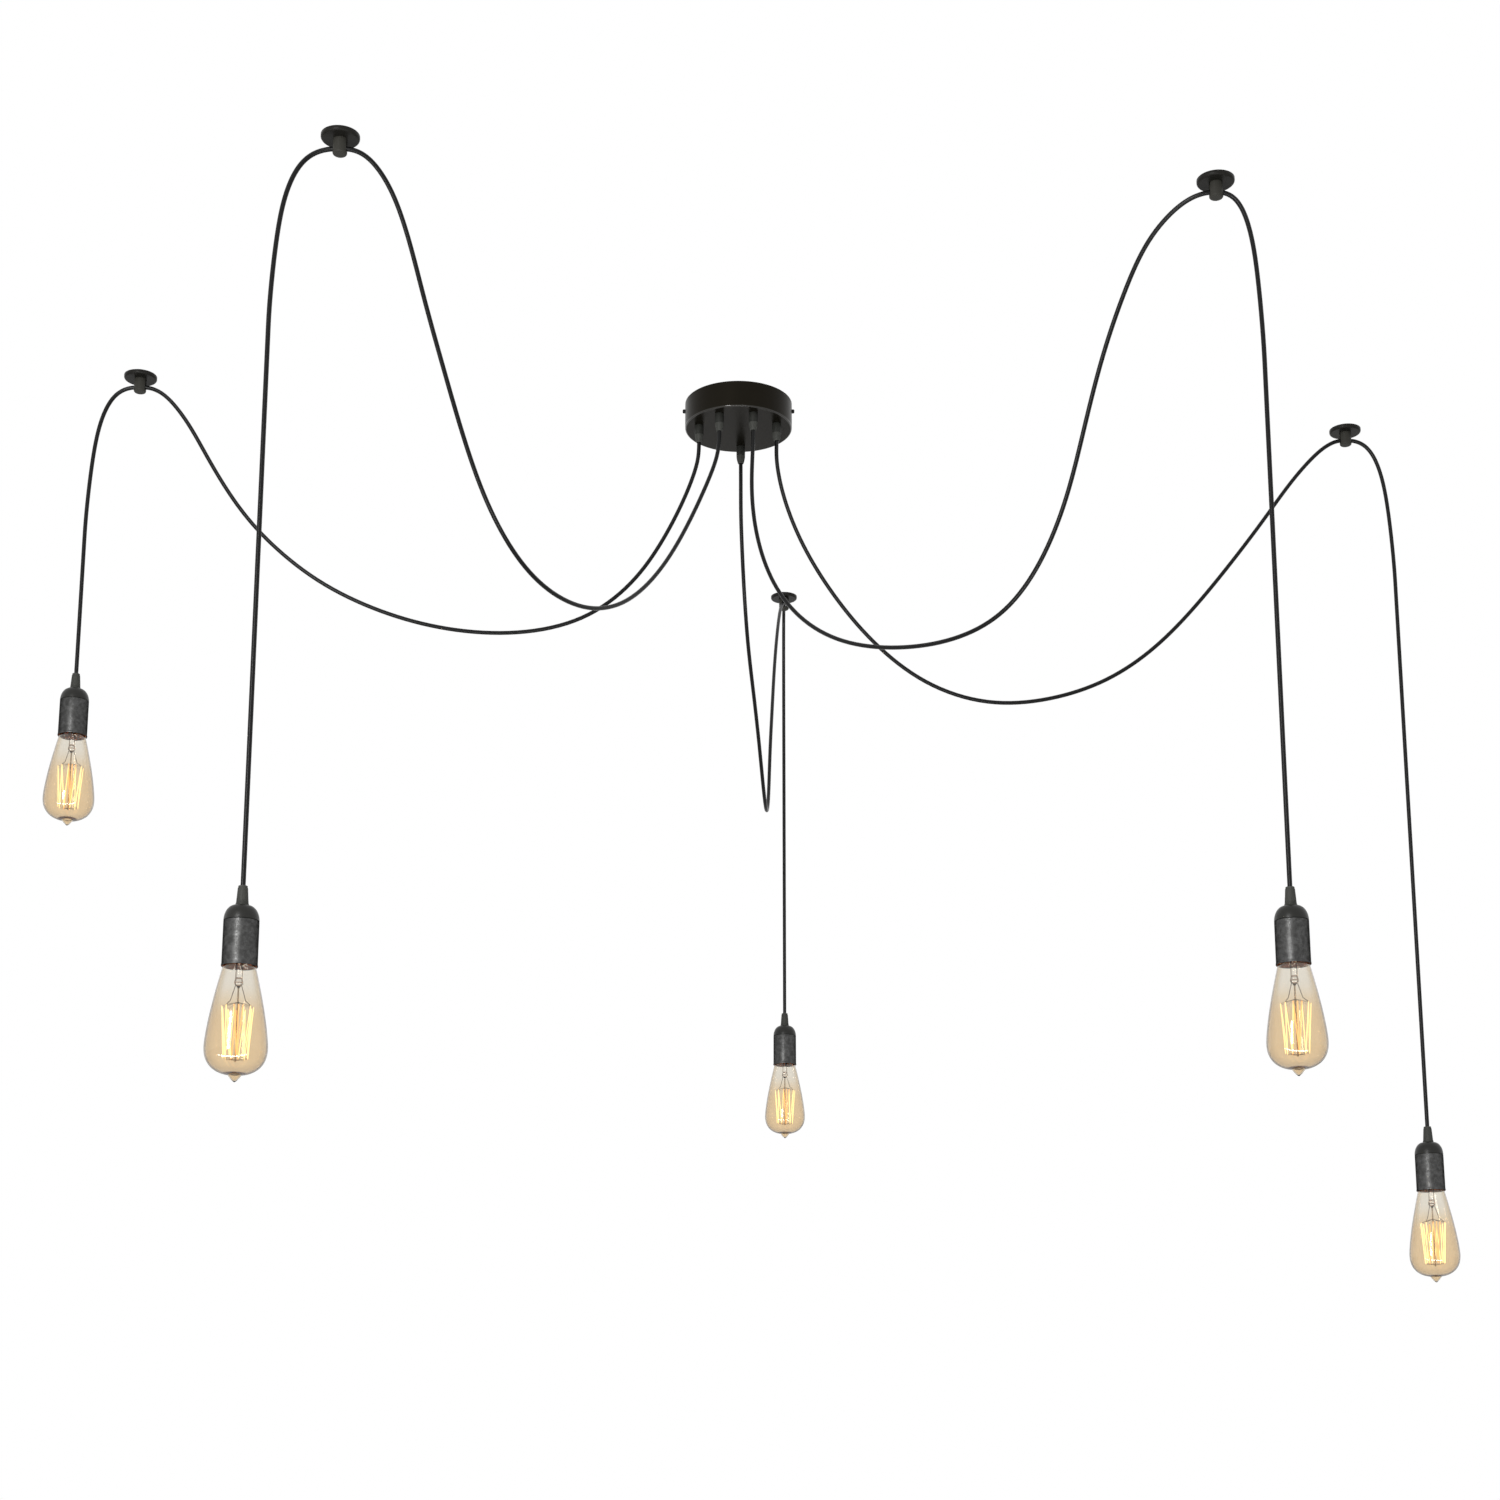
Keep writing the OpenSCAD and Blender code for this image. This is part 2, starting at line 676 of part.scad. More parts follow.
module holder_grip(i) color([0.13, 0.13, 0.12]) at_lamp(i) rotate_extrude() polygon([
    [cord_bore_r, 0],
    [grip_top_d / 2 - collar_step, 0],
    [grip_top_d / 2 - collar_step, -grip_collar_h],
    [grip_top_d / 2, -grip_collar_h],
    [grip_foot_d / 2 - collar_step, dome_top + grip_collar_h],
    [grip_foot_d / 2, dome_top + grip_collar_h],
    [grip_foot_d / 2, dome_top],
    [thread_d / 2, dome_top],
    [thread_d / 2, dome_top - grip_thread_l],
    [cord_bore_r, dome_top - grip_thread_l]
]);

// Points of a quarter ellipse from the dome's flat down to its foot
function dome_curve(foot_r, top, foot) = let (flat_r = dome_flat_d / 2)
    [for (k = [0 : dome_steps]) let (a = 90 * k / dome_steps)
        [flat_r + (foot_r - flat_r) * sin(a), foot + (top - foot) * cos(a)]];

module holder_dome(i) color([0.1, 0.1, 0.1]) at_lamp(i) {
    hole_r = (thread_d + thread_fit) / 2;
    skirt_r = sleeve_bore_r - part_gap;
    skirt_bore_r = skirt_r - skirt_wall;
    outside = dome_curve(dome_d / 2, dome_top, dome_foot);
    inside = dome_curve(skirt_bore_r, dome_top - dome_wall, dome_foot);
    rotate_extrude() polygon(concat(
        [[hole_r, dome_top]],
        outside,
        [[skirt_r, dome_foot], [skirt_r, skirt_foot], [skirt_bore_r, skirt_foot]],
        [for (k = [len(inside) - 1 : -1 : 0]) inside[k]],
        [[hole_r, dome_top - dome_wall]]
    ));
}

module holder_sleeve(i) color([0.36, 0.36, 0.36]) at_lamp(i) {
    top = dome_foot - part_gap;
    mouth_r = sleeve_mouth_d / 2;
    bead_top = mouth + lip_h;
    bead_end = bead_top + sleeve_wall;
    lip_r = bulb_mouth_d / 2 + lip_fit;
    rotate_extrude() polygon([
        [sleeve_bore_r, top],
        [sleeve_top_r, top],
        [mouth_r - lip_bulge, bead_end],
        [mouth_r, bead_top],
        [mouth_r, mouth + lip_bulge],
        [mouth_r - lip_bulge, mouth],
        [lip_r, mouth],
        [lip_r, bead_top],
        [mouth_r - lip_bulge - sleeve_wall, bead_end]
    ]);
}

// Radius and thickness of the centre contact, and its gap to the bulb's own contact
contact_r = 4;
contact_t = 0.8;
contact_gap = 0.3;

// Insulating body that holds the screw shell against its bore, and the centre contact, which
// closes the hole that the cord's cores come in by
module holder_insert(i) color([0.85, 0.82, 0.74]) at_lamp(i) {
    seat = contact_top + contact_gap + contact_t;
    rotate_extrude() polygon([
        [cord_bore_r, insert_top],
        [insert_r, insert_top],
        [insert_r, insert_foot],
        [shell_bore_r, insert_foot],
        [shell_bore_r, seat],
        [contact_r, seat],
        [contact_r, seat - contact_t],
        [0, seat - contact_t],
        [0, seat],
        [cord_bore_r, seat]
    ]);
}

// Bulb

// Radius of the bulb at a depth below the sleeve's mouth, with the glass taken off by skin
function bulb_radius(depth, skin) = let (
    r = bulb_d / 2 - skin,
    neck = bulb_mouth_d / 2 - skin,
    end = bulb_round_h - skin,
    down = min(1, max(0, (depth - bulb_wide_depth) / end))
) depth < bulb_wide_depth ?
    r - (r - neck) * pow(1 - depth / bulb_wide_depth, side_swell) :
    r * pow(max(0, 1 - pow(down, end_swell)), 1 / end_swell);

// Depth at which the round end narrows to a radius
function end_depth(r, skin) = bulb_wide_depth + (bulb_round_h - skin)
    * pow(1 - pow(r / (bulb_d / 2 - skin), end_swell), 1 / end_swell);

// Steps that fall evenly on the bulb's long side and closer on its round end
function bulb_side(skin, last_r) = let (last = end_depth(last_r, skin)) concat(
    [for (k = [0 : side_steps - 1]) let (h = k / side_steps * bulb_wide_depth)
        [bulb_radius(h, skin), mouth - h]],
    [for (k = [0 : end_steps]) let (
        h = bulb_wide_depth + (last - bulb_wide_depth) * sin(90 * k / end_steps)
    ) [bulb_radius(h, skin), mouth - h]]
);

module bulb_glass(i) color([0.95, 0.78, 0.5, 0.45]) at_lamp(i) {
    shoulder_r = cap_bore_r + cap_sheet;
    shoulder = bulb_shell_foot - neck_fit;
    neck_top = bulb_shell_foot + neck_h;
    nose_top = mouth - end_depth(nose_d / 2, 0);
    tip = mouth - bulb_wide_depth - bulb_round_h - nose_h;
    nose = [for (u = [0.2 : 0.2 : 0.8])
        [nose_d / 2 * pow(1 - u, nose_swell), nose_top + (tip - nose_top) * u]];
    inside = bulb_side(glass_wall, nose_d / 2);
    rotate_extrude() polygon(concat(
        [[neck_r - glass_wall, neck_top], [neck_r, neck_top], [neck_r, shoulder]],
        [[shoulder_r, shoulder]],
        bulb_side(0, nose_d / 2),
        nose,
        [[0, tip], [0, mouth - bulb_wide_depth - bulb_round_h + glass_wall]],
        [for (k = [len(inside) - 1 : -1 : 0]) inside[k]],
        [[shoulder_r - glass_wall, shoulder - glass_wall]],
        [[neck_r - glass_wall, shoulder - glass_wall]]
    ));
}

// Brass screw shell with its thread as rings, the black insulator and the solder contact
module bulb_cap(i) color([0.78, 0.66, 0.4]) at_lamp(i) {
    r = bulb_cap_d / 2;
    plain_h = 2.5;
    turns = floor((bulb_cap_h - 2 * plain_h) / cap_pitch);
    start = bulb_shell_foot + plain_h;
    rim_w = 4;
    rim_r = cap_bore_r - rim_w;
    rim_h = 1.2;
    insulator_r = cap_bore_r - 1.5 * rim_h;
    solder_edge = 0.6;
    rings = [for (k = [0 : 6 * turns])
        [r - cap_groove / 2 * (1 - cos(60 * k)), start + cap_pitch * k / 6]];
    rotate_extrude() polygon(concat(
        [[cap_bore_r, bulb_shell_foot], [cap_bore_r + cap_sheet, bulb_shell_foot]],
        rings,
        [[cap_bore_r + cap_sheet, bulb_shell_top - rim_h]],
        [[cap_bore_r - rim_h, bulb_shell_top], [rim_r, bulb_shell_top]],
        [[rim_r, bulb_shell_top - cap_sheet]],
        [[cap_bore_r - rim_h, bulb_shell_top - cap_sheet], [cap_bore_r, bulb_shell_top - rim_h]]
    ));
    translate([0, 0, bulb_shell_top]) {
        cylinder(r1 = insulator_r, r2 = contact_r + 2 * solder_edge, h = contact_h - solder_h);
    }
    translate([0, 0, contact_top - solder_h]) {
        cylinder(r1 = contact_r + solder_edge, r2 = contact_r - solder_edge, h = solder_h);
    }
}

// A wire between two points, a little longer at both ends so that wires meet
module wire(from, to) {
    v = to - from;
    turn = atan2(v[1], v[0]);
    lean = acos(v[2] / norm(v));
    translate(from) rotate([0, lean, turn]) translate([0, 0, -wire_d / 4]) {
        cylinder(d = wire_d, h = norm(v) + wire_d / 2, $fn = 6);
    }
}

// Gap between the stem's flare and the glass neck, and the flare's rim and length
flare_fit = 0.2;
flare_rim = 0.9;
flare_h = 11;
// Length over which the stem is pinched, how far the pinch stands out, and the length of
// rod beyond the cage's foot
pinch_h = 4;
pinch_swell = 1;
rod_tail = 3;

// Clear stem, its pinch and rod, the support wires and the zigzag of hairpin loops
module bulb_filament(i) color([1, 0.6, 0.2]) at_lamp(i) {
    stem_r = stem_tube_d / 2;
    rod_r = rod_d / 2;
    flare_r = neck_r - glass_wall - flare_fit;
    flare_top = bulb_shell_foot + neck_h - flare_rim;
    pinch = mouth - pinch_depth;
    top = mouth - cage_top_depth;
    foot = mouth - cage_foot_depth;
    rod_end = foot - rod_tail;
    step = 360 / cage_loops;
    flare = [for (u = [0 : 0.25 : 1])
        [stem_r + (flare_r - stem_r) * pow(1 - u, 3), flare_top - flare_rim - u * flare_h]];
    rotate_extrude() polygon(concat(
        [[0, flare_top], [flare_r, flare_top]],
        flare,
        [[stem_r, pinch + pinch_h], [stem_r + pinch_swell, pinch + pinch_h / 4]],
        [[stem_r + pinch_swell, pinch - pinch_h / 4], [rod_r, pinch - 1.5 * pinch_h]],
        [[rod_r, rod_end], [0, rod_end - rod_r]]
    ));
    for (k = [0 : cage_loops - 1]) {
        a = step * k;
        b = step * (k + 0.5);
        root = [stem_r / 2 * cos(a), stem_r / 2 * sin(a), pinch - pinch_h / 2];
        high = [cage_top_r * cos(a), cage_top_r * sin(a), top];
        next = [cage_top_r * cos(a + step), cage_top_r * sin(a + step), top];
        low = [cage_foot_r * cos(b), cage_foot_r * sin(b), foot];
        wire(root, high);
        wire([0, 0, rod_end + rod_r], low);
        wire(high, low);
        wire(low, next);
    }
}

canopy_cup();
ceiling_bracket();
side_screws();
wiring_connectors();
outlet_grips();
grip_nuts();
cord_leads();
hook_plates();
hook_stems();

cord_swag(0);  // cord_swag_a
cord_bend(0);  // cord_bend_a
cord_drop(0);  // cord_drop_a
holder_grip(0);  // holder_grip_a
holder_dome(0);  // holder_dome_a
holder_sleeve(0);  // holder_sleeve_a
holder_insert(0);  // holder_insert_a
bulb_cap(0);  // bulb_cap_a
bulb_glass(0);  // bulb_glass_a
bulb_filament(0);  // bulb_filament_a

cord_swag(1);  // cord_swag_b
cord_bend(1);  // cord_bend_b
cord_drop(1);  // cord_drop_b
holder_grip(1);  // holder_grip_b
holder_dome(1);  // holder_dome_b
holder_sleeve(1);  // holder_sleeve_b
holder_insert(1);  // holder_insert_b
bulb_cap(1);  // bulb_cap_b
bulb_glass(1);  // bulb_glass_b
bulb_filament(1);  // bulb_filament_b

cord_swag(2);  // cord_swag_c
cord_bend(2);  // cord_bend_c
cord_drop(2);  // cord_drop_c
holder_grip(2);  // holder_grip_c
holder_dome(2);  // holder_dome_c
holder_sleeve(2);  // holder_sleeve_c
holder_insert(2);  // holder_insert_c
bulb_cap(2);  // bulb_cap_c
bulb_glass(2);  // bulb_glass_c
bulb_filament(2);  // bulb_filament_c

cord_swag(3);  // cord_swag_d
cord_bend(3);  // cord_bend_d
cord_drop(3);  // cord_drop_d
holder_grip(3);  // holder_grip_d
holder_dome(3);  // holder_dome_d
holder_sleeve(3);  // holder_sleeve_d
holder_insert(3);  // holder_insert_d
bulb_cap(3);  // bulb_cap_d
bulb_glass(3);  // bulb_glass_d
bulb_filament(3);  // bulb_filament_d

cord_swag(4);  // cord_swag_e
cord_bend(4);  // cord_bend_e
cord_drop(4);  // cord_drop_e
holder_grip(4);  // holder_grip_e
holder_dome(4);  // holder_dome_e
holder_sleeve(4);  // holder_sleeve_e
holder_insert(4);  // holder_insert_e
bulb_cap(4);  // bulb_cap_e
bulb_glass(4);  // bulb_glass_e
bulb_filament(4);  // bulb_filament_e
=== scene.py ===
# %% [markdown]
# A spider pendant light: a round black canopy feeds five cords, each cord swags out to a ceiling
# hook, and from the hook a bare lampholder hangs with a large amber filament bulb.
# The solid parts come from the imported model. Blender adds what makes them look real: finishes,
# the soft cords, the glass, the filaments, ribs, grooves and rounded edges.

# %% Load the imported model
import json
import math

import bmesh
import bpy
from mathutils import Matrix, Vector


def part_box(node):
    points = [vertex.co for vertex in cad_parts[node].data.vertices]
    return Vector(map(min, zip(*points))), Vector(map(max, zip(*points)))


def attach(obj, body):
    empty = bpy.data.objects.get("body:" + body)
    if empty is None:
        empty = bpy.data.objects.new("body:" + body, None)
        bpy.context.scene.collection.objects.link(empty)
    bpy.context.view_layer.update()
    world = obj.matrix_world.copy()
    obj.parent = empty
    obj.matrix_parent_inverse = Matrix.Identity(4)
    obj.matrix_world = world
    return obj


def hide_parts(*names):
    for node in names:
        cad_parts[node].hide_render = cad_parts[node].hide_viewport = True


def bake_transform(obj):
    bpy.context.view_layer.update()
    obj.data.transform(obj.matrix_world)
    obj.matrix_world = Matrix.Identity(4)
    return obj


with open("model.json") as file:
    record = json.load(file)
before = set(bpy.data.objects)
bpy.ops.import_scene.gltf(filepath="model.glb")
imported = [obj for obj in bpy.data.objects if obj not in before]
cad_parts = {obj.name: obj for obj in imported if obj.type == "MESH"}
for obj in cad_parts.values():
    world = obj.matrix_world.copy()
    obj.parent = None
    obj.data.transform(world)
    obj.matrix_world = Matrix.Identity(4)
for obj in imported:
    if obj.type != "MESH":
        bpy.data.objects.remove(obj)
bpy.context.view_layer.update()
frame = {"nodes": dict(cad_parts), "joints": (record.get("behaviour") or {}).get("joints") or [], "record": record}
joints = {joint["name"]: joint for joint in frame["joints"]}
PENDANTS = "abcde"
UP = Vector((0, 0, 1))

# %% [markdown]
# The camera stands below the ceiling and looks up at the canopy. A lens shift keeps the hanging
# cords nearly upright, as an architectural photographer would. The optical axis meets the picture
# below its middle, so the shift is the part of the picture's height that lies between them.

# %% Camera
CAMERA_AT = (0.0157, -3.0682, -1.472)
CAMERA_PITCH = math.radians(12)
PICTURE_SIDE = 1500
FOCAL_PIXELS = 2414
AXIS_ROW = 990
camera_data = bpy.data.cameras.new("camera")
camera_data.lens = camera_data.sensor_width * FOCAL_PIXELS / PICTURE_SIDE
camera_data.shift_y = AXIS_ROW / PICTURE_SIDE - 0.5
camera = bpy.data.objects.new("camera", camera_data)
camera.location = CAMERA_AT
camera.rotation_euler = (math.radians(90) + CAMERA_PITCH, 0, 0)
bpy.context.scene.collection.objects.link(camera)
bpy.context.scene.camera = camera
print(f"lens {camera_data.lens:.1f} mm, shift {camera_data.shift_y:.2f}")

# %% [markdown]
# Each cord is one fixed length of round flex. It leaves its grip straight down, sags under its own
# weight, climbs to the hook and lies in the stem's notches, bends over and then hangs plumb. A few
# listed points fix such a route, and a B-spline through them gives the smooth, springy line that a
# stiff flex takes. The same rule and the same points shape the imported solids.

# %% Routes of the cords
CORD_D = 0.0054
OUTLET_RING = 0.055
OUTLET_TURN = 87
OUTLET_STEP = 49
OUTLET_PLACE = {"a": -0.5, "b": 0.5, "c": -1.5, "d": 1.5}
CORD_TOP = -0.034
GRIP_TIP = -0.062
CORD_LEAD = 0.008
HOOK_LEAD = 0.014
CORD_TAIL = 0.045
SWAG_STEPS = 8
BEND_STEPS = 6
DROP_STEPS = 120
SWING_SLOT = 0.00046
BEND_BASE = 0.064
SWAG_ROUTE = {
    "a": [
        (-0.027, -0.049, -0.098), (-0.044, -0.062, -0.150), (-0.069, -0.092, -0.222),
        (-0.099, -0.138, -0.298), (-0.138, -0.198, -0.366), (-0.182, -0.270, -0.404),
        (-0.228, -0.342, -0.406), (-0.264, -0.400, -0.380), (-0.294, -0.446, -0.330),
        (-0.317, -0.484, -0.264), (-0.335, -0.520, -0.202), (-0.352, -0.560, -0.144),
        (-0.365, -0.598, -0.090), (-0.380, -0.636, -0.048), (-0.402, -0.658, -0.022),
    ],
    "b": [
        (0.019, -0.051, -0.098), (0.017, -0.051, -0.150), (0.023, -0.054, -0.214),
        (0.044, -0.067, -0.288), (0.084, -0.104, -0.356), (0.140, -0.162, -0.408),
        (0.210, -0.232, -0.438), (0.272, -0.296, -0.448), (0.322, -0.346, -0.434),
        (0.360, -0.386, -0.388), (0.389, -0.414, -0.318), (0.408, -0.440, -0.236),
        (0.427, -0.466, -0.160), (0.450, -0.498, -0.096), (0.472, -0.534, -0.050),
        (0.506, -0.564, -0.022),
    ],
    "c": [
        (-0.055, -0.012, -0.092), (-0.071, -0.009, -0.138), (-0.100, -0.004, -0.198),
        (-0.141, -0.002, -0.262), (-0.206, -0.005, -0.316), (-0.294, -0.012, -0.338),
        (-0.388, -0.026, -0.337), (-0.476, -0.038, -0.316), (-0.560, -0.050, -0.278),
        (-0.630, -0.060, -0.220), (-0.672, -0.066, -0.168), (-0.706, -0.072, -0.112),
        (-0.732, -0.078, -0.064), (-0.762, -0.084, -0.026),
    ],
    "d": [
        (0.051, -0.018, -0.092), (0.060, -0.014, -0.142), (0.085, -0.004, -0.206),
        (0.126, 0.008, -0.272), (0.180, 0.018, -0.338), (0.250, 0.028, -0.394),
        (0.336, 0.038, -0.420), (0.422, 0.046, -0.410), (0.502, 0.052, -0.381),
        (0.570, 0.058, -0.331), (0.628, 0.064, -0.268), (0.682, 0.068, -0.200),
        (0.730, 0.072, -0.136), (0.770, 0.076, -0.078), (0.812, 0.080, -0.030),
    ],
    "e": [
        (0.003, 0.056, -0.096), (0.003, 0.058, -0.140), (0.005, 0.070, -0.190),
        (0.008, 0.096, -0.244), (0.013, 0.144, -0.300), (0.021, 0.204, -0.346),
        (0.029, 0.270, -0.398), (0.036, 0.328, -0.458), (0.041, 0.384, -0.478),
        (0.044, 0.426, -0.428), (0.046, 0.454, -0.350), (0.050, 0.494, -0.270),
        (0.054, 0.548, -0.180), (0.060, 0.602, -0.096), (0.066, 0.664, -0.034),
    ],
}
BEND_ROUTE = [
    (0.014, -0.016), (0.031, -0.023), (0.045, -0.043), (0.055, -0.078),
    (0.060, -0.124), (0.063, -0.176), (0.064, -0.212),
]


def spline_point(a, b, c, d, t):
    """One point of a uniform cubic B-spline, with t from 0 to 1 between its middle points."""
    return (
        (1 - t) ** 3 * a
        + (3 * t**3 - 6 * t**2 + 4) * b
        + (-3 * t**3 + 3 * t**2 + 3 * t + 1) * c
        + t**3 * d
    ) / 6


def spline(points, steps):
    """A B-spline through the first and last of these points."""
    ends = [2 * points[0] - points[1], *points, 2 * points[-1] - points[-2]]
    curve = [
        spline_point(*ends[k : k + 4], step / steps)
        for k in range(len(points) - 1)
        for step in range(steps)
    ]
    return [*curve, points[-1]]


def outlet(pendant):
    """Where a pendant's cord leaves the canopy, seen from above."""
    place = OUTLET_PLACE.get(pendant)
    turn = OUTLET_TURN if place is None else OUTLET_TURN + 180 + OUTLET_STEP * place
    return OUTLET_RING * Vector((math.cos(math.radians(turn)), math.sin(math.radians(turn)), 0))


def hook(pendant):
    """The point of the cord's axis that lies under a hook, and the way the cord heads there."""
    swing = joints[f"swing_across_{pendant}"]
    return Vector(swing["pos_m"]), Vector(swing["axis"])


def plumb(pendant):
    """The point from which a pendant's cord hangs plumb."""
    return Vector(joints[f"swing_along_{pendant}"]["pos_m"])


def lamp_top(pendant):
    """The middle of the top of a lampholder's cord grip."""
    low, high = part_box(f"holder_grip_{pendant}")
    return Vector(((low.x + high.x) / 2, (low.y + high.y) / 2, high.z))


def swag_line(pendant):
    """The cord's axis from inside the canopy to the hook."""
    start = outlet(pendant)
    over, heading = hook(pendant)
    points = [start + CORD_TOP * UP, start + (GRIP_TIP - CORD_LEAD) * UP]
    points += [Vector(point) for point in SWAG_ROUTE[pendant]]
    points += [over - HOOK_LEAD * heading, over - SWING_SLOT * heading]
    return spline(points, SWAG_STEPS)


def hanging_line(pendant):
    """The cord's axis from the hook, round its bend and down into the lampholder."""
    over, heading = hook(pendant)
    turn = plumb(pendant)
    reach = (turn.xy - over.xy).length / BEND_BASE
    shape = [
        Vector((over.x, over.y, 0)) + across * reach * heading + height * UP
        for across, height in BEND_ROUTE
    ]
    bend = spline([over + SWING_SLOT * heading, *shape, turn + SWING_SLOT * UP], BEND_STEPS)
    foot = lamp_top(pendant) - CORD_TAIL * UP
    return bend + [turn.lerp(foot, step / DROP_STEPS) for step in range(1, DROP_STEPS + 1)]


def length_of(line):
    """The length of a line of points."""
    return sum((b - a).length for a, b in zip(line, line[1:]))


for pendant in PENDANTS:
    print(
        f"cord {pendant}: swag {length_of(swag_line(pendant)):.3f} m,",
        f"hanging {length_of(hanging_line(pendant)):.3f} m",
    )

# %% [markdown]
# Shader maths reads best as sums, so one small class wraps a node's output and gives it Python's
# operators: writing 1 - mask adds the Math node for it. Every other node comes from one method,
# which sets the node's own options first and then its sockets.

# %% Shader sockets that do sums
class Socket:
    """An output of a shader node; sums with it add Math nodes."""

    def __init__(self, finish, socket):
        self.finish = finish
        self.socket = socket

    def sum(self, operation, first, second):
        return self.finish.node("ShaderNodeMath", {"operation": operation}, {0: first, 1: second})

    def __add__(self, other):
        return self.sum("ADD", self, other)

    def __radd__(self, other):
        return self.sum("ADD", other, self)

    def __sub__(self, other):
        return self.sum("SUBTRACT", self, other)

    def __rsub__(self, other):
        return self.sum("SUBTRACT", other, self)

    def __mul__(self, other):
        return self.sum("MULTIPLY", self, other)

    def __rmul__(self, other):
        return self.sum("MULTIPLY", other, self)

    def __pow__(self, other):
        return self.sum("POWER", self, other)

    def __rpow__(self, other):
        return self.sum("POWER", other, self)

    def max(self, other):
        return self.sum("MAXIMUM", self, other)


class Finish:
    """A material or world under construction: node() adds any node and returns an output."""

    def __init__(self, owner):
        self.owner = owner
        owner.use_nodes = True
        self.tree = owner.node_tree
        self.tree.nodes.clear()

    def node(self, kind, settings=None, inputs=None, output=0):
        made = self.tree.nodes.new(kind)
        for name, value in (settings or {}).items():
            setattr(made, name, value)
        for name, value in (inputs or {}).items():
            if isinstance(value, Socket):
                self.tree.links.new(value.socket, made.inputs[name])
            else:
                made.inputs[name].default_value = value
        return Socket(self, made.outputs[output]) if made.outputs else None

    def done(self, shader, kind="ShaderNodeOutputMaterial"):
        """Joins a shader to the output and returns the material or world."""
        self.node(kind, None, {"Surface": shader})
        return self.owner

    def surface(self, **inputs):
        """A Principled surface; an input's name is its socket's with _ for each space."""
        sockets = {name.replace("_", " "): value for name, value in inputs.items()}
        return self.node("ShaderNodeBsdfPrincipled", None, sockets)

    def place(self):
        """The point on the piece in metres."""
        return self.node("ShaderNodeTexCoord", output="Object")

    def noise(self, size, detail=3):
        """Cloudy noise from 0 to 1 whose patches are about size metres across."""
        inputs = {"Vector": self.place(), "Scale": 1 / size, "Detail": detail}
        return self.node("ShaderNodeTexNoise", None, inputs)

    def parts(self, point):
        """The three coordinates of a point."""
        split = self.node("ShaderNodeSeparateXYZ", None, {0: point}).socket.node
        return [Socket(self, output) for output in split.outputs]

    def local(self):
        """The point's own coordinates on a lamp, measured from the top of its cord grip."""
        point = self.node("ShaderNodeAttribute", {"attribute_name": "local"}, output="Vector")
        return self.parts(point)

    def span(self, value, low, high):
        """0 at low, 1 at high, and a smooth step between them."""
        inputs = {"Value": value, "From Min": low, "From Max": high}
        return self.node("ShaderNodeMapRange", {"interpolation_type": "SMOOTHSTEP"}, inputs)

    def mix(self, share, first, second):
        """Two colours mixed by share."""
        return self.node("ShaderNodeMix", {"data_type": "RGBA"}, {0: share, 6: first, 7: second}, 2)

    def bump(self, height, distance, strength=1.0):
        """A normal as if the surface stood up by height times distance."""
        inputs = {"Height": height, "Distance": distance, "Strength": strength}
        return self.node("ShaderNodeBump", None, inputs)


def grey(value):
    """A neutral colour."""
    return (value, value, value, 1)


# %% [markdown]
# The light is photographed in a white studio: white all round, one tall soft lamp a little left of
# the camera, which draws the long highlight on each lampholder, and a wide low one that lights the
# undersides. The surroundings are plain white where the camera sees them, directly or in a
# reflection, and dimmer as a source of light, so that the lamps can model the round forms.

# %% Surroundings, floor and lamps
AMBIENT = 0.42
FLOOR_Z = -2.35
FLOOR_HALF = 40
FLOOR_GLOW = 0.6


def seen_by_camera(finish):
    """1 for what the camera sees, directly, in a reflection or through glass, and 0 otherwise."""
    seen = finish.node("ShaderNodeLightPath", output="Is Camera Ray")
    for ray in ("Is Glossy Ray", "Is Transmission Ray"):
        seen = seen.max(finish.node("ShaderNodeLightPath", output=ray))
    return seen


def surroundings():
    """White where it is seen, and dimmer where it only lights."""
    finish = Finish(bpy.data.worlds.new("white_studio"))
    light = finish.mix(seen_by_camera(finish), grey(AMBIENT), grey(1.0))
    background = finish.node("ShaderNodeBackground", None, {"Color": light, "Strength": 1.0})
    return finish.done(background, "ShaderNodeOutputWorld")


def floor():
    """A wide pale floor well below the lamps, which still takes their shadows."""
    form = bmesh.new()
    bmesh.ops.create_grid(form, x_segments=1, y_segments=1, size=FLOOR_HALF)
    bmesh.ops.translate(form, vec=FLOOR_Z * UP, verts=form.verts)
    mesh = bpy.data.meshes.new("floor")
    form.to_mesh(mesh)
    form.free()
    finish = Finish(bpy.data.materials.new("floor_paper"))
    tone = finish.mix(finish.noise(0.4), grey(0.86), grey(0.9))
    paper = finish.surface(Base_Color=tone, Roughness=0.9)
    pale = finish.node("ShaderNodeEmission", None, {"Color": grey(1.0), "Strength": 1.0})
    share = seen_by_camera(finish) * FLOOR_GLOW
    blend = finish.node("ShaderNodeMixShader", None, {0: share, 1: paper, 2: pale})
    mesh.materials.append(finish.done(blend))
    plane = bpy.data.objects.new("floor", mesh)
    bpy.context.scene.collection.objects.link(plane)


def soft_lamp(name, at, towards, width, height, watts):
    """A rectangular soft lamp that faces a point."""
    data = bpy.data.lights.new(name, "AREA")
    data.shape = "RECTANGLE"
    data.size = width
    data.size_y = height
    data.energy = watts
    lamp = bpy.data.objects.new(name, data)
    lamp.location = at
    lamp.rotation_euler = (Vector(towards) - Vector(at)).to_track_quat("-Z", "Y").to_euler()
    bpy.context.scene.collection.objects.link(lamp)


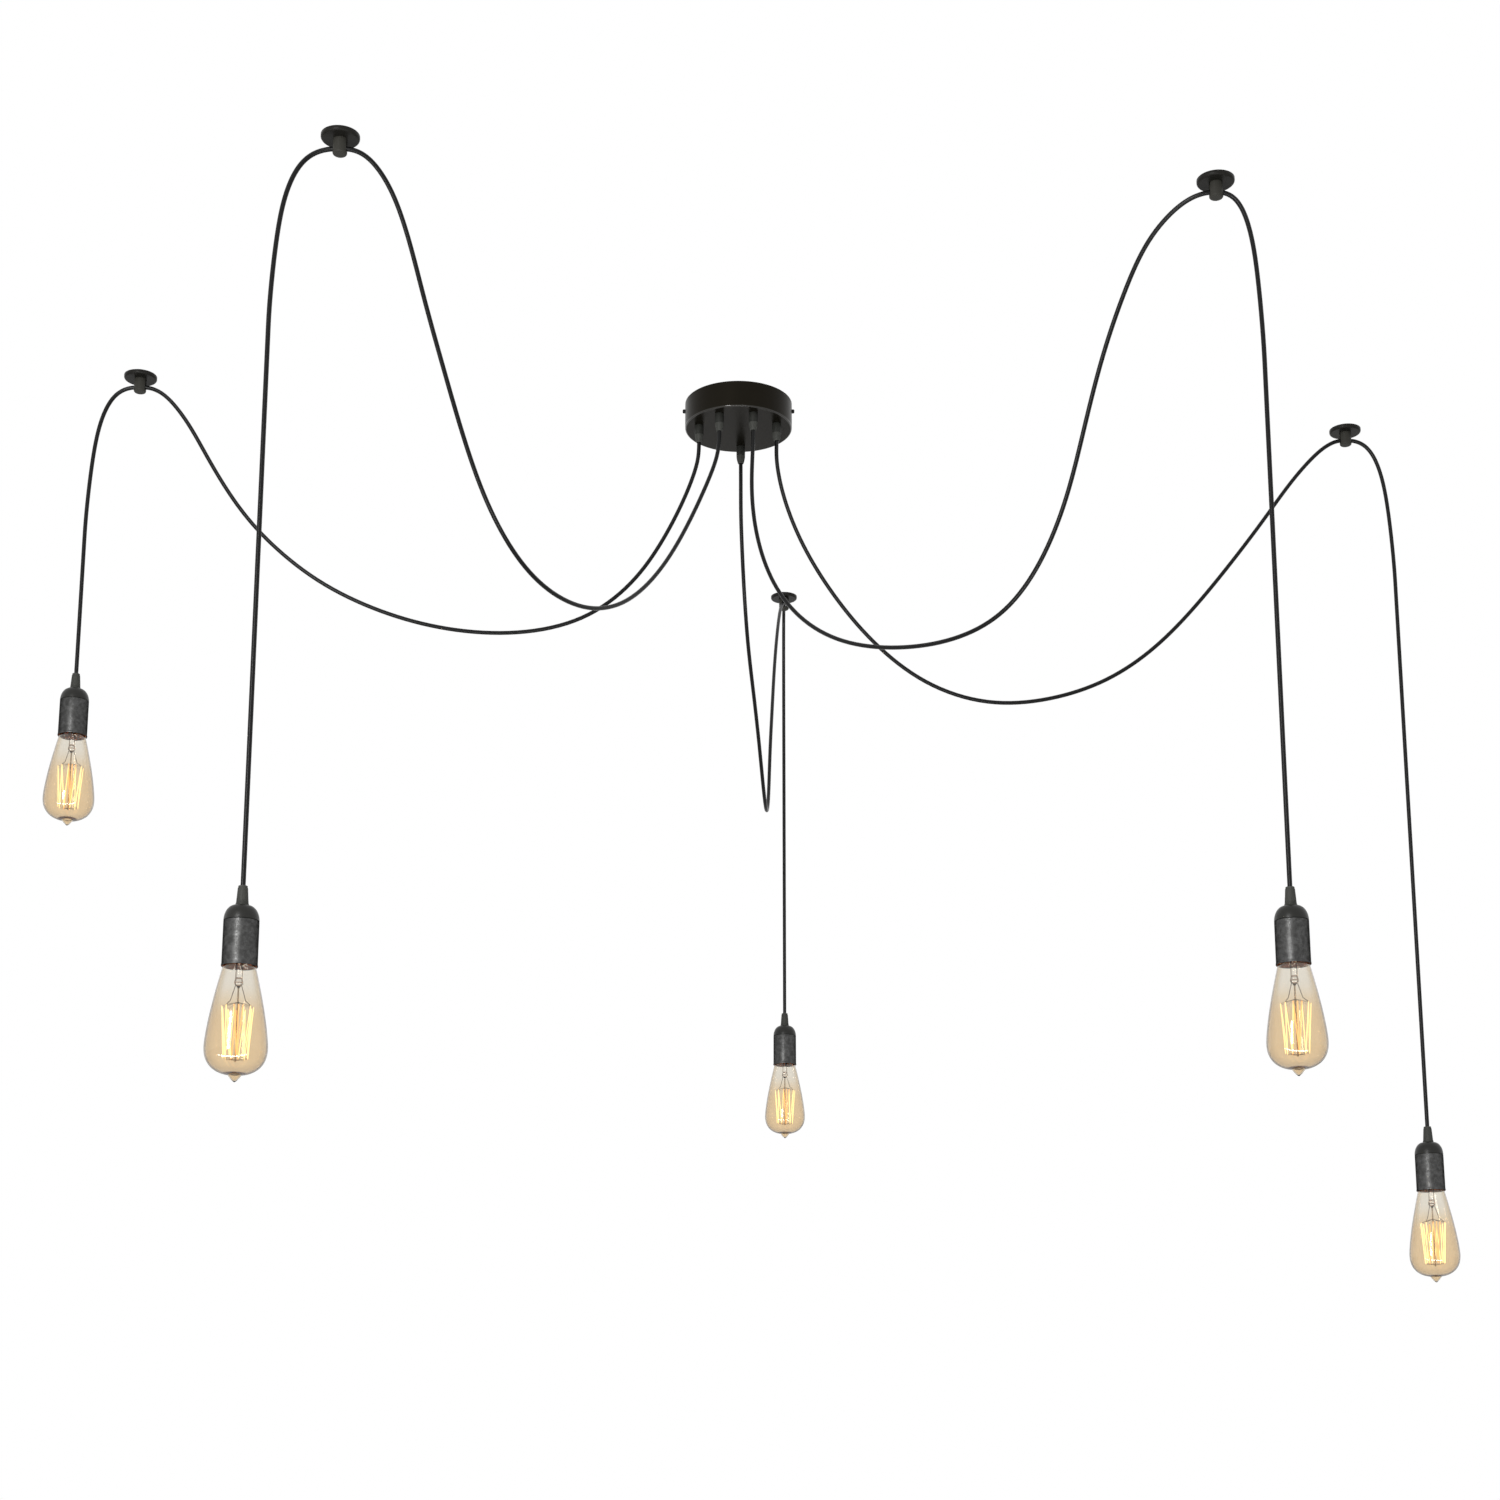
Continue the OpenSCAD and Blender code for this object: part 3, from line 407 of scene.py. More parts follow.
bpy.context.scene.world = surroundings()
bpy.context.scene.view_settings.view_transform = "Standard"
floor()
soft_lamp(
    "front_lamp", at=(-1.3, -3.6, -0.4), towards=(0, 0, -0.4), width=0.6, height=2.4, watts=74
)
soft_lamp(
    "low_lamp", at=(-0.6, -1.9, -2.2), towards=(-0.6, 0, 0), width=4.2, height=0.2, watts=42
)
print("ambient light", AMBIENT, "and", len(bpy.data.lights), "lamps")

# %% [markdown]
# Dark paint, moulded plastic and rubber look alike at heart: one colour that drifts a little, a
# gloss that drifts with it and a faint grain. One recipe makes them all, and each finish below
# gives its own colour, drift, roughness, size of grain, depth of grain and gloss. Black parts keep
# a low reflection, because white surroundings would otherwise turn them grey. The canopy's paint
# has a warm sheen, and its lower edge is polished by handling.

# %% Paints, plastics and rubber
WARM_SHEEN = (1.0, 0.86, 0.66, 1)
CLOUD_SIZE = 0.02
GRAIN_SWING = 0.12
EDGE_BAND = 0.0021
EDGE_FADE = 0.0004
EDGE_ROUGHNESS = 0.12


def coated(name, colour, drift, roughness, grain, bump, gloss=0.12, canopy=False):
    """A plain finish whose colour and roughness drift, with a fine grain."""
    finish = Finish(bpy.data.materials.new(name))
    clouds = finish.noise(CLOUD_SIZE)
    fine = finish.noise(grain, 4)
    light = (*[channel * (1 + drift) for channel in colour], 1)
    dark = (*[channel * (1 - drift) for channel in colour], 1)
    shader = finish.surface(
        Base_Color=finish.mix(clouds, dark, light),
        Roughness=roughness + GRAIN_SWING * (fine - 0.5),
        Specular_IOR_Level=gloss,
        Specular_Tint=WARM_SHEEN if canopy else grey(1.0),
        Coat_Weight=rolled_edge(finish) if canopy else 0.0,
        Coat_Roughness=EDGE_ROUGHNESS,
        Normal=finish.bump(fine, bump),
    )
    return finish.done(shader)


def rolled_edge(finish):
    """1 on the canopy's lower edge, where handling has polished the paint, and 0 elsewhere."""
    across, along, height = finish.parts(finish.place())
    low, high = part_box("canopy_cup")
    out = (across * across + along * along) ** 0.5
    edge = (high.x - low.x) / 2 - EDGE_BAND
    band = low.z + EDGE_BAND
    return finish.span(out, edge, edge + EDGE_FADE) * finish.span(height, band, band - EDGE_FADE)


FINISHES = {
    "black_canopy": coated(
        "satin_black_paint", (0.006, 0.0052, 0.0036), 0.12, 0.3, 0.0006, 3e-6, 0.08, canopy=True
    ),
    "black_screws": coated("black_screw", (0.006, 0.006, 0.006), 0.1, 0.35, 0.0005, 3e-6),
    "white_connector": coated("white_plastic", (0.78, 0.77, 0.7), 0.03, 0.35, 0.001, 3e-6, 0.5),
    "black_grips": coated("matt_black_plastic", (0.021, 0.0215, 0.019), 0.15, 0.5, 0.0006, 8e-6),
    # The grey is the lampholder grips' own tone, and on the canopy grips' noses a painted highlight.
    "grey_grip_and_painted_sheen": coated("matt_grey_plastic_and_painted_sheen", (0.05, 0.051, 0.046), 0.15, 0.5, 0.0006, 8e-6),
    "black_leads": coated("core_rubber", (0.012, 0.012, 0.012), 0.1, 0.4, 0.0008, 3e-6),
    "black_hooks": coated("satin_hook_plastic", (0.01, 0.0095, 0.008), 0.12, 0.35, 0.0006, 4e-6),
    "black_stems": coated("matt_stem_plastic", (0.034, 0.033, 0.028), 0.12, 0.5, 0.0006, 8e-6),
    "black_cord": coated("cord_sheath", (0.002, 0.002, 0.002), 0.15, 0.3, 0.0015, 6e-6, 0.2),
    "black_dome": coated(
        "satin_dome_plastic", (0.009, 0.009, 0.0075), 0.15, 0.36, 0.0005, 8e-6, 0.3
    ),
    "cream_insert": coated("cream_ceramic", (0.7, 0.64, 0.52), 0.04, 0.25, 0.001, 3e-6, 0.5),
}
print("coated finishes:", len(FINISHES))

# %% [markdown]
# The lampholder's sleeve is sheet metal with an antique pewter finish: patches of lighter and
# darker grey, tiny pits, and a dull shine. Zinc on the bracket and nuts is a bright, thin plating
# with a faint frost, and the brass of the bulb's cap and the copper inside the sleeve are plain and
# a little stained. A metal's edge tint keeps the round sleeve dark towards its sides.

# %% Metals
WEAR_SWING = 0.2
WEAR_SHARE = 1 / 8


def metal(name, colour, stain, roughness, patch, bump, metallic=1.0):
    """Bare or plated metal with stained patches and fine wear."""
    finish = Finish(bpy.data.materials.new(name))
    patches = finish.noise(patch, 4)
    fine = finish.noise(patch * WEAR_SHARE, 3)
    shader = finish.surface(
        Base_Color=finish.mix(patches, (*colour, 1), (*stain, 1)),
        Roughness=roughness + WEAR_SWING * (fine - 0.5),
        Metallic=metallic,
        Normal=finish.bump(fine, bump),
    )
    return finish.done(shader)


def pewter():
    """Mottled antique pewter."""
    dark, light, pitted = (0.055, 0.055, 0.054, 1), (0.1, 0.1, 0.099, 1), (0.035, 0.035, 0.034, 1)
    patch, pit = 0.005, 0.0012
    finish = Finish(bpy.data.materials.new("mottled_pewter"))
    patches = finish.noise(patch, 5)
    pits = finish.span(finish.noise(pit, 4), 0.35, 0.75)
    tone = finish.mix(finish.span(patches, 0.3, 0.7), dark, light)
    tone = finish.mix(pits * 0.5, tone, pitted)
    shader = finish.surface(
        Base_Color=tone,
        Roughness=0.4 + GRAIN_SWING * (pits - 0.5),
        Metallic=0.9,
        Specular_IOR_Level=0.1,
        Specular_Tint=grey(0.15),
        Normal=finish.bump(pits, 3e-5),
    )
    return finish.done(shader)


FINISHES["zinc_bracket"] = metal("zinc", (0.6, 0.6, 0.58), (0.45, 0.45, 0.44), 0.35, 0.006, 1e-5)
FINISHES["zinc_nuts"] = metal("zinc_nut", (0.62, 0.62, 0.6), (0.5, 0.5, 0.48), 0.3, 0.004, 1e-5)
FINISHES["brass_cap"] = metal("brass", (0.62, 0.43, 0.18), (0.4, 0.25, 0.1), 0.3, 0.005, 1e-5)
FINISHES["copper_liner"] = metal(
    "copper", (0.8, 0.24, 0.09), (0.36, 0.09, 0.035), 0.5, 0.005, 1e-5, metallic=0.2
)
FINISHES["pewter_sleeve"] = pewter()
print("finishes:", ", ".join(sorted(FINISHES)))

# %% [markdown]
# The bulb's glass carries a thin gold lustre that is nearly clear at the neck and honey-coloured
# below. Seen edge on, the eye looks through more of it, so the tint deepens towards the rim of the
# bulb; the thin dark line on the very rim is painted shade, with an opaque brown mixed in there.
# The thick ring where the nose was drawn off is darker partly for its thicker glass and partly as
# painted shade. Layer Weight says how far a face turns from the eye, and height and radius on the
# lamp place the rest. The filament glows: its outer strands read as pale yellow and the ones in
# the middle as orange.

# %% Glass and glowing wire
MOUTH_Z = -0.085
PINCH_Z = MOUTH_Z - 0.017
BULB_WIDE_DEPTH = 0.083
NOSE_R = 0.0075
GLASS_IOR = 1.45
# Painted shade: the colour of the dark line where glass is seen edge on.
PAINTED_EDGE_SHADE = (0.12, 0.08, 0.05, 1)


def turned_away(finish):
    """0 where a face looks at the eye and 1 where it is seen edge on."""
    return finish.node("ShaderNodeLayerWeight", None, {"Blend": 0.5}, "Facing")


def below(finish, height, depth, fade):
    """0 down to a depth below the mouth, and 1 from depth plus fade."""
    return finish.span(height, MOUTH_Z - depth, MOUTH_Z - depth - fade)


def amber_glass():
    """Clear gold-tinted glass, deeper downwards and towards its outline, where shade is painted."""
    neck, honey, side = (0.86, 0.83, 0.77, 1), (0.85, 0.73, 0.56, 1), (0.66, 0.56, 0.42, 1)
    # Painted shade: the brown of the dark rim line, and in part of the thick ring above the nose.
    thick_glass_and_shade, painted_rim_brown = (0.1, 0.045, 0.025, 1), (0.07, 0.045, 0.025, 1)
    finish = Finish(bpy.data.materials.new("amber_glass"))
    across, along, height = finish.local()
    facing = turned_away(finish)
    down = below(finish, height, 0.015, 0.04)
    tint = finish.mix(down, neck, honey)
    tint = finish.mix(finish.span(facing, 0.2, 0.65), tint, side)
    nose = below(finish, height, 0.1112, 0.001)
    # Painted shade: a dark line where the glass turns edge on, weaker on the nose.
    outline = finish.span(facing, 0.66, 0.9) * (1 - 0.75 * nose)
    tint = finish.mix(outline, tint, PAINTED_EDGE_SHADE)
    out = (across * across + along * along) ** 0.5
    # The ring above the nose is darker partly for its thicker glass and partly as painted shade.
    ring = finish.span(out, 0.0135, 0.0105) * finish.span(out, NOSE_R - 0.0009, NOSE_R + 0.0003)
    tint = finish.mix(ring * below(finish, height, 0.1085, 0.001), tint, thick_glass_and_shade)
    glass = finish.surface(Base_Color=tint, Roughness=0.0, IOR=GLASS_IOR, Transmission_Weight=1.0)
    # Painted shade: an opaque brown surface mixed in along the dark rim line, more of it lower down.
    painted_rim_surface = finish.surface(Base_Color=painted_rim_brown, Roughness=0.3)
    share = outline * (0.35 + 0.4 * down)
    return finish.done(finish.node("ShaderNodeMixShader", None, {0: share, 1: glass, 2: painted_rim_surface}))


def clear_glass():
    """Uncoloured stem glass: darker rod, two scorched rings at the pinch, painted edge shade."""
    rod_brown, ring_brown = (0.4, 0.33, 0.25, 1), (0.2, 0.12, 0.08, 1)
    ring_half, ring_fade = 0.0004, 0.001
    finish = Finish(bpy.data.materials.new("clear_glass"))
    height = finish.local()[2]
    # Painted shade: a dark line where the stem is seen edge on.
    tint = finish.mix(finish.span(turned_away(finish), 0.1, 0.45), grey(1.0), PAINTED_EDGE_SHADE)
    rod = finish.span(height, PINCH_Z - 0.002, PINCH_Z - 0.005)
    tint = finish.mix(rod, tint, rod_brown)
    for ring in (PINCH_Z + 0.0045, PINCH_Z):
        near = finish.span(height, ring - ring_fade, ring - ring_half)
        above = finish.span(height, ring + ring_half, ring + ring_fade)
        tint = finish.mix(near * (1 - above), tint, ring_brown)
    shader = finish.surface(
        Base_Color=tint, Roughness=0.02, IOR=GLASS_IOR, Transmission_Weight=1.0
    )
    return finish.done(shader)


def glow(name, colour, strength):
    """Wire at a dull or a bright glow."""
    finish = Finish(bpy.data.materials.new(name))
    flicker = finish.noise(0.004)
    tone = finish.mix(flicker, (*colour, 1), (*[channel * 0.9 for channel in colour], 1))
    shader = finish.surface(
        Base_Color=(0.1, 0.08, 0.06, 1), Roughness=0.5,
        Emission_Color=tone, Emission_Strength=strength,
    )
    return finish.done(shader)


FINISHES["amber_glass"] = amber_glass()
FINISHES["filament"] = clear_glass()
FINISHES["bright_strand"] = glow("bright_strand", (1.0, 0.78, 0.36), 2.6)
FINISHES["orange_strand"] = glow("orange_strand", (1.0, 0.5, 0.18), 1.8)
FINISHES["support_wire"] = metal(
    "support", (0.1, 0.08, 0.06), (0.05, 0.04, 0.03), 0.4, 0.003, 1e-5
)
print("finishes:", len(FINISHES))

# %% [markdown]
# A piece is a finished mesh at the origin that rides on its body, takes its finish from a material
# slot and may stand for the CAD solids of the same part. Lamp parts are made once, round the top of
# a lampholder's cord grip, and then set down at each of the five lamps. Each copy remembers where
# its points lay on that first lamp, so that a finish can tell the mouth from the nose. No two lamps
# hang at the same angle, so each one is turned a little.

# %% How a mesh becomes a piece
SMOOTH_ANGLE = math.radians(32)
MERGE = 1e-7
TURNS = {
    "bulb": {"a": 16, "b": -5, "c": 24, "d": 1, "e": 8},
    "lamp": {"a": 17, "b": -1, "c": 17, "d": -9, "e": 0},
}


def add_piece(name, mesh, body, slot, stands_for=(), finish=None):
    """Puts a finished mesh in the scene as a piece that moves with a body."""
    mesh.shade_smooth()
    mesh.set_sharp_from_angle(angle=SMOOTH_ANGLE)
    mesh.materials.clear()
    mesh.materials.append(FINISHES[finish or slot])
    piece = bpy.data.objects.new(name, mesh)
    bpy.context.scene.collection.objects.link(piece)
    if body:
        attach(piece, body)
    if stands_for:
        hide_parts(*stands_for)
    return piece


def mesh_of(form, name):
    """A mesh from a bmesh, with outward normals and its own coordinates kept as local."""
    bmesh.ops.remove_doubles(form, verts=form.verts, dist=MERGE)
    bmesh.ops.recalc_face_normals(form, faces=form.faces)
    mesh = bpy.data.meshes.new(name)
    form.to_mesh(mesh)
    form.free()
    kept = mesh.attributes.new("local", "FLOAT_VECTOR", "POINT")
    for spot, vertex in zip(kept.data, mesh.vertices):
        spot.vector = vertex.co
    return mesh


def at_lamps(name, mesh, body, slot, stands_for=None, finish=None):
    """One copy of a lamp part for each pendant."""
    for pendant in PENDANTS:
        own = mesh.copy()
        turn = math.radians(TURNS[body][pendant])
        own.transform(Matrix.Translation(lamp_top(pendant)) @ Matrix.Rotation(turn, 4, "Z"))
        nodes = [f"{stands_for}_{pendant}"] if stands_for else []
        add_piece(f"{name}_{pendant}", own, f"{body}_{pendant}", slot, nodes, finish)
    bpy.data.meshes.remove(mesh)


# %% [markdown]
# Nearly every part of this light is turned or spun on the real product, and so it is here: an
# outline of radius and height turns once round the upright axis. A third number at a point of the
# outline rounds that corner first, because no real edge is perfectly sharp.

# %% Turned forms
CRISP, SOFT, ROUND, ROLLED = 0.0002, 0.0003, 0.0004, 0.0007
UPRIGHT = 0.5


def turned(outline, closed=True, turns=64):
    """A bmesh made by turning an outline of (radius, height[, rounding]) points."""
    form = bmesh.new()
    corners = [form.verts.new((radius, 0, height)) for radius, height, *_ in outline]
    last = corners[1:] + corners[:1] if closed else corners[1:]
    for a, b in zip(corners, last):
        form.edges.new((a, b))
    for corner, (_, _, *rounding) in zip(corners, outline):
        if rounding:
            bmesh.ops.bevel(
                form, geom=[corner], offset=rounding[0], offset_type="OFFSET", segments=4,
                profile=0.5, affect="VERTICES", material=-1,
            )
    bmesh.ops.spin(
        form, geom=form.verts[:] + form.edges[:], cent=(0, 0, 0), axis=(0, 0, 1),
        dvec=(0, 0, 0), angle=math.tau, steps=turns, use_merge=True, use_duplicate=False,
    )
    bmesh.ops.remove_doubles(form, verts=form.verts, dist=MERGE)
    return form


def faces_between(form, low, high, radius):
    """The upright faces between two heights that lie further out than radius."""
    form.normal_update()
    return [
        face for face in form.faces
        if low < face.calc_center_median().z < high
        and face.calc_center_median().xy.length > radius
        and abs(face.normal.z) < UPRIGHT
    ]


# %% [markdown]
# A tube could be a bevelled curve, and it starts as one here: Blender sweeps the round section and
# closes the ends, and then each curve is turned into a mesh.

# %% Tubes along a line
def tube_mesh(name, lines, diameter, rounds=4):
    """Sweeps a round section along one or more lines of points, as one mesh."""
    curve = bpy.data.curves.new(name, "CURVE")
    curve.dimensions = "3D"
    curve.bevel_depth = diameter / 2
    curve.bevel_resolution = rounds
    curve.use_fill_caps = True
    for line in lines:
        run = curve.splines.new("POLY")
        run.points.add(len(line) - 1)
        for spot, point in zip(run.points, line):
            spot.co = (*point, 1)
    swept = bpy.data.objects.new(name, curve)
    form = bmesh.new()
    form.from_mesh(bpy.data.meshes.new_from_object(swept))
    bpy.data.objects.remove(swept)
    bpy.data.curves.remove(curve)
    return mesh_of(form, name)


# %% [markdown]
# Each pendant has one cord in two stretches, because the hook pinches it: the swag rides on the
# root body, and the rest is made where it hangs and rides on no body. The swag ends in the canopy's
# grip and at the hook, the hanging stretch at the hook and inside the lampholder.


def make_cords(pendant):
    """The two stretches of a pendant's cord."""
    line = swag_line(pendant)
    swag = add_piece(
        f"swag_cord_{pendant}", tube_mesh("swag_cord", [line], CORD_D), "root", "black_cord",
        [f"cord_swag_{pendant}"],
    )
    length_of(line)
    line = hanging_line(pendant)
    hanging = add_piece(
        f"hanging_cord_{pendant}", tube_mesh("hanging_cord", [line], CORD_D), None, "black_cord",
        [f"cord_bend_{pendant}", f"cord_drop_{pendant}"],
    )
    length_of(line)
    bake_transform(hanging)


for pendant in PENDANTS:
    make_cords(pendant)
print("cords made:", 2 * len(PENDANTS))

# %% [markdown]
# Cord grips are moulded nylon. The one under the canopy is a smooth barrel with a blunt, ribbed
# nose below a groove, whose lighter grey is a painted highlight where the ribs catch the light; the
# one on the lampholder widens downwards between two smooth collars and takes the same grey. The
# ribs give the fingers a hold, and they come from sinking every other strip of the turned form.

# %% Cord grips
CORD_BORE_R = 0.0029
THREAD_R = 0.005
RIB_SINK = 0.00025
RIB_EDGE = 0.0001
GRIP_TURNS = 48
BARREL_R = 0.006
BARREL_FOOT = -0.013
NOSE_TOP = -0.0136
NOSE_FOOT = -0.025


def ribbed(form, low, high, radius, turns):
    """Sinks every other upright strip between two heights."""
    strips = [
        face for face in faces_between(form, low, high, radius)
        if int(
            (math.atan2(face.calc_center_median().y, face.calc_center_median().x) % math.tau)
            / math.tau * turns
        ) % 2
    ]
    bmesh.ops.inset_region(form, faces=strips, thickness=RIB_EDGE, depth=-RIB_SINK)
    return form


def canopy_barrel():
    """The barrel of the grip under the canopy, measured from the canopy's lower face."""
    groove, thread_top = 0.0006, 0.0052
    return turned([
        (CORD_BORE_R, thread_top), (THREAD_R, thread_top), (THREAD_R, 0), (BARREL_R, 0, ROUND),
        (BARREL_R, BARREL_FOOT, ROUND), (BARREL_R - groove, BARREL_FOOT),
        (BARREL_R - groove, NOSE_TOP), (CORD_BORE_R, NOSE_TOP),
    ], turns=GRIP_TURNS)


def canopy_nose():
    """The ribbed nose of the same grip."""
    tip_r, swell, steps, smooth_end, smooth_top = 0.0038, 1.7, 8, 0.0012, 0.001
    shares = [step / steps for step in range(1, steps)]
    curve = [
        (BARREL_R - (BARREL_R - tip_r) * share**swell, NOSE_TOP + (NOSE_FOOT - NOSE_TOP) * share)
        for share in shares
    ]
    form = turned([
        (CORD_BORE_R, NOSE_TOP), (BARREL_R, NOSE_TOP, SOFT), *curve, (tip_r, NOSE_FOOT, ROUND),
        (CORD_BORE_R, NOSE_FOOT),
    ], turns=GRIP_TURNS)
    inside = CORD_BORE_R * 1.2
    return ribbed(form, NOSE_FOOT + smooth_end, NOSE_TOP - smooth_top, inside, GRIP_TURNS)


def lamp_grip():
    """The grip on top of a lampholder."""
    foot_r, top_r, height = 0.0068, 0.0052, -0.021
    collar, step, thread = 0.0022, 0.0004, 0.007
    form = turned([
        (CORD_BORE_R, 0), (top_r - step, 0, SOFT), (top_r - step, -collar),
        (top_r, -collar, CRISP), (foot_r - step, height + collar),
        (foot_r, height + collar, CRISP), (foot_r, height, SOFT), (THREAD_R, height),
        (THREAD_R, height - thread), (CORD_BORE_R, height - thread),
    ], turns=GRIP_TURNS)
    return ribbed(form, height + collar, -collar, CORD_BORE_R * 1.5, GRIP_TURNS)


def at_outlets(name, form_of):
    """The same turned form under each of the canopy's five outlets, as one mesh."""
    all_five = bmesh.new()
    for pendant in PENDANTS:
        one = form_of()
        bmesh.ops.translate(one, vec=outlet(pendant) + canopy_foot * UP, verts=one.verts)
        single = mesh_of(one, name)
        all_five.from_mesh(single)
        bpy.data.meshes.remove(single)
    return mesh_of(all_five, name)


canopy_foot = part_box("canopy_cup")[0].z
barrels = at_outlets("grip_barrels", canopy_barrel)
add_piece("grip_barrels", barrels, "root", "black_grips", ["outlet_grips"])
noses = at_outlets("grip_noses", canopy_nose)
# Painted highlight: the noses take a lighter grey where their ribs catch the light.
add_piece("grip_noses", noses, "root", "black_grips", finish="grey_grip_and_painted_sheen")
lamp_grips = mesh_of(lamp_grip(), "lamp_grip")
at_lamps("lamp_grip", lamp_grips, "lamp", "black_grips", "holder_grip", "grey_grip_and_painted_sheen")
print("grips made")

# %% [markdown]
# The lampholder is a moulded black dome over a spun metal sleeve. The sleeve's mouth is rolled to a
# bead, so that no raw sheet edge shows, and inside it lies a thin copper sheet that catches the
# bulb's colour. A narrow gap between dome and sleeve draws the dark seam, and a small dimple near
# the mouth holds the sleeve on. The ceramic socket and the bulb's cap behind it stay hidden, so
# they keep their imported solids.

# %% Lampholder
SLEEVE_R = 0.0182
SLEEVE_TOP = -0.0376
SLEEVE_WALL = 0.001
MOUTH_R = 0.0186
LIP_R = 0.0174
DIMPLE_Z = MOUTH_Z + 0.0136
DIMPLE_SIDE = 0.0012
DIMPLE_EDGE = 0.0002
DIMPLE_DEPTH = 0.0003
DIMPLE_TURN = math.radians(-84)
LAMP_TURNS = 96


def quarter(flat_r, foot_r, top, foot, steps=20):
    """Points of a quarter ellipse from a flat top down to its foot."""
    angles = [math.pi / 2 * step / steps for step in range(steps + 1)]
    return [
        (flat_r + (foot_r - flat_r) * math.sin(a), foot + (top - foot) * math.cos(a))
        for a in angles
    ]


def dome():
    """The black dome with its skirt inside the sleeve."""
    flat_r, foot_r, top, foot, wall = 0.0075, 0.0182, -0.021, -0.037, 0.0018
    skirt_r, skirt_wall, skirt_foot, hole_r = 0.0169, 0.0021, -0.043, 0.0052
    inside = quarter(flat_r, skirt_r - skirt_wall, top - wall, foot)
    return turned([
        (hole_r, top), *quarter(flat_r, foot_r, top, foot), (skirt_r, foot),
        (skirt_r, skirt_foot), (skirt_r - skirt_wall, skirt_foot), *inside[::-1],
        (hole_r, top - wall),
    ], turns=LAMP_TURNS)


def sleeve():
    """The metal sleeve with its rolled mouth and the small dimple that holds the dome."""
    bulge, bead = 0.0003, MOUTH_Z + 0.0016
    bead_top = bead + 0.001
    band = (DIMPLE_Z + DIMPLE_SIDE / 2, DIMPLE_Z - DIMPLE_SIDE / 2)
    slope = (MOUTH_R - bulge - SLEEVE_R) / (bead_top - SLEEVE_TOP)
    form = turned([
        (SLEEVE_R - SLEEVE_WALL, SLEEVE_TOP), (SLEEVE_R, SLEEVE_TOP, SOFT),
        *[(SLEEVE_R + slope * (z - SLEEVE_TOP), z) for z in band],
        (MOUTH_R - bulge, bead_top, ROUND), (MOUTH_R, bead, ROUND),
        (MOUTH_R, MOUTH_Z, ROLLED), (LIP_R, MOUTH_Z, ROUND), (LIP_R, bead),
        (SLEEVE_R - SLEEVE_WALL, bead_top),
    ], turns=LAMP_TURNS)
    spot = Vector((SLEEVE_R * math.cos(DIMPLE_TURN), SLEEVE_R * math.sin(DIMPLE_TURN), DIMPLE_Z))
    ring = faces_between(form, band[1], band[0], SLEEVE_R - SLEEVE_WALL / 2)
    dent = min(ring, key=lambda face: (face.calc_center_median() - spot).length)
    bmesh.ops.inset_individual(form, faces=[dent], thickness=DIMPLE_EDGE, depth=-DIMPLE_DEPTH)
    return form


def liner():
    """The thin copper sheet inside the sleeve."""
    sheet, foot, top = 0.00025, MOUTH_Z + 0.0004, MOUTH_Z + 0.018
    outer = SLEEVE_R - SLEEVE_WALL
    return turned([
        (outer - sheet, foot), (outer, foot), (outer, top), (outer - sheet, top),
    ], turns=LAMP_TURNS)


at_lamps("dome", mesh_of(dome(), "dome"), "lamp", "black_dome", "holder_dome")
at_lamps("sleeve", mesh_of(sleeve(), "sleeve"), "lamp", "pewter_sleeve", "holder_sleeve")
at_lamps("liner", mesh_of(liner(), "liner"), "lamp", "pewter_sleeve", finish="copper_liner")
print("lampholders made")

# %% [markdown]
# The bulb is one blown shell: a screw neck, a long side that swells slowly, a round end and a small
# nose where the glass was once drawn off. One formula gives the side and the end, as it does for
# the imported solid; many more steps make it smooth here.

# %% Bulb glass
BULB_R = 0.032
BULB_MOUTH_R = 0.0167
BULB_END_H = 0.029
GLASS_WALL = 0.0009
NOSE_H = 0.0075
SIDE_SWELL = 1.38
END_SWELL = 2.4
NOSE_SWELL = 0.75
NOSE_STEPS = 12
NECK_R = 0.01185
SHOULDER_R = 0.0125
SHOULDER = MOUTH_Z + 0.00765
NECK_TOP = MOUTH_Z + 0.016


def bulb_radius(depth, skin):
    """Radius of the bulb at a depth below the mouth, with skin taken off."""
    widest, neck, end = BULB_R - skin, BULB_MOUTH_R - skin, BULB_END_H - skin
    if depth < BULB_WIDE_DEPTH:
        return widest - (widest - neck) * (1 - depth / BULB_WIDE_DEPTH) ** SIDE_SWELL
    down = min(1, (depth - BULB_WIDE_DEPTH) / end)
    return widest * (1 - down**END_SWELL) ** (1 / END_SWELL)


def end_depth(radius, skin):
    """Depth at which the round end narrows to a radius."""
    part = 1 - (radius / (BULB_R - skin)) ** END_SWELL
    return BULB_WIDE_DEPTH + (BULB_END_H - skin) * part ** (1 / END_SWELL)


def bulb_side(skin, steps=40):
    """Points of the long side and the round end, down to the nose."""
    last = end_depth(NOSE_R, skin)
    depths = [BULB_WIDE_DEPTH * step / steps for step in range(steps)]
    depths += [
        BULB_WIDE_DEPTH + (last - BULB_WIDE_DEPTH) * math.sin(math.pi / 2 * step / steps)
        for step in range(steps + 1)
    ]
    return [(bulb_radius(depth, skin), MOUTH_Z - depth) for depth in depths]


def nose_line(radius, top, tip):
    """Points between the top and the tip of the nose."""
    shares = [step / NOSE_STEPS for step in range(1, NOSE_STEPS)]
    return [(radius * (1 - share) ** NOSE_SWELL, top + (tip - top) * share) for share in shares]


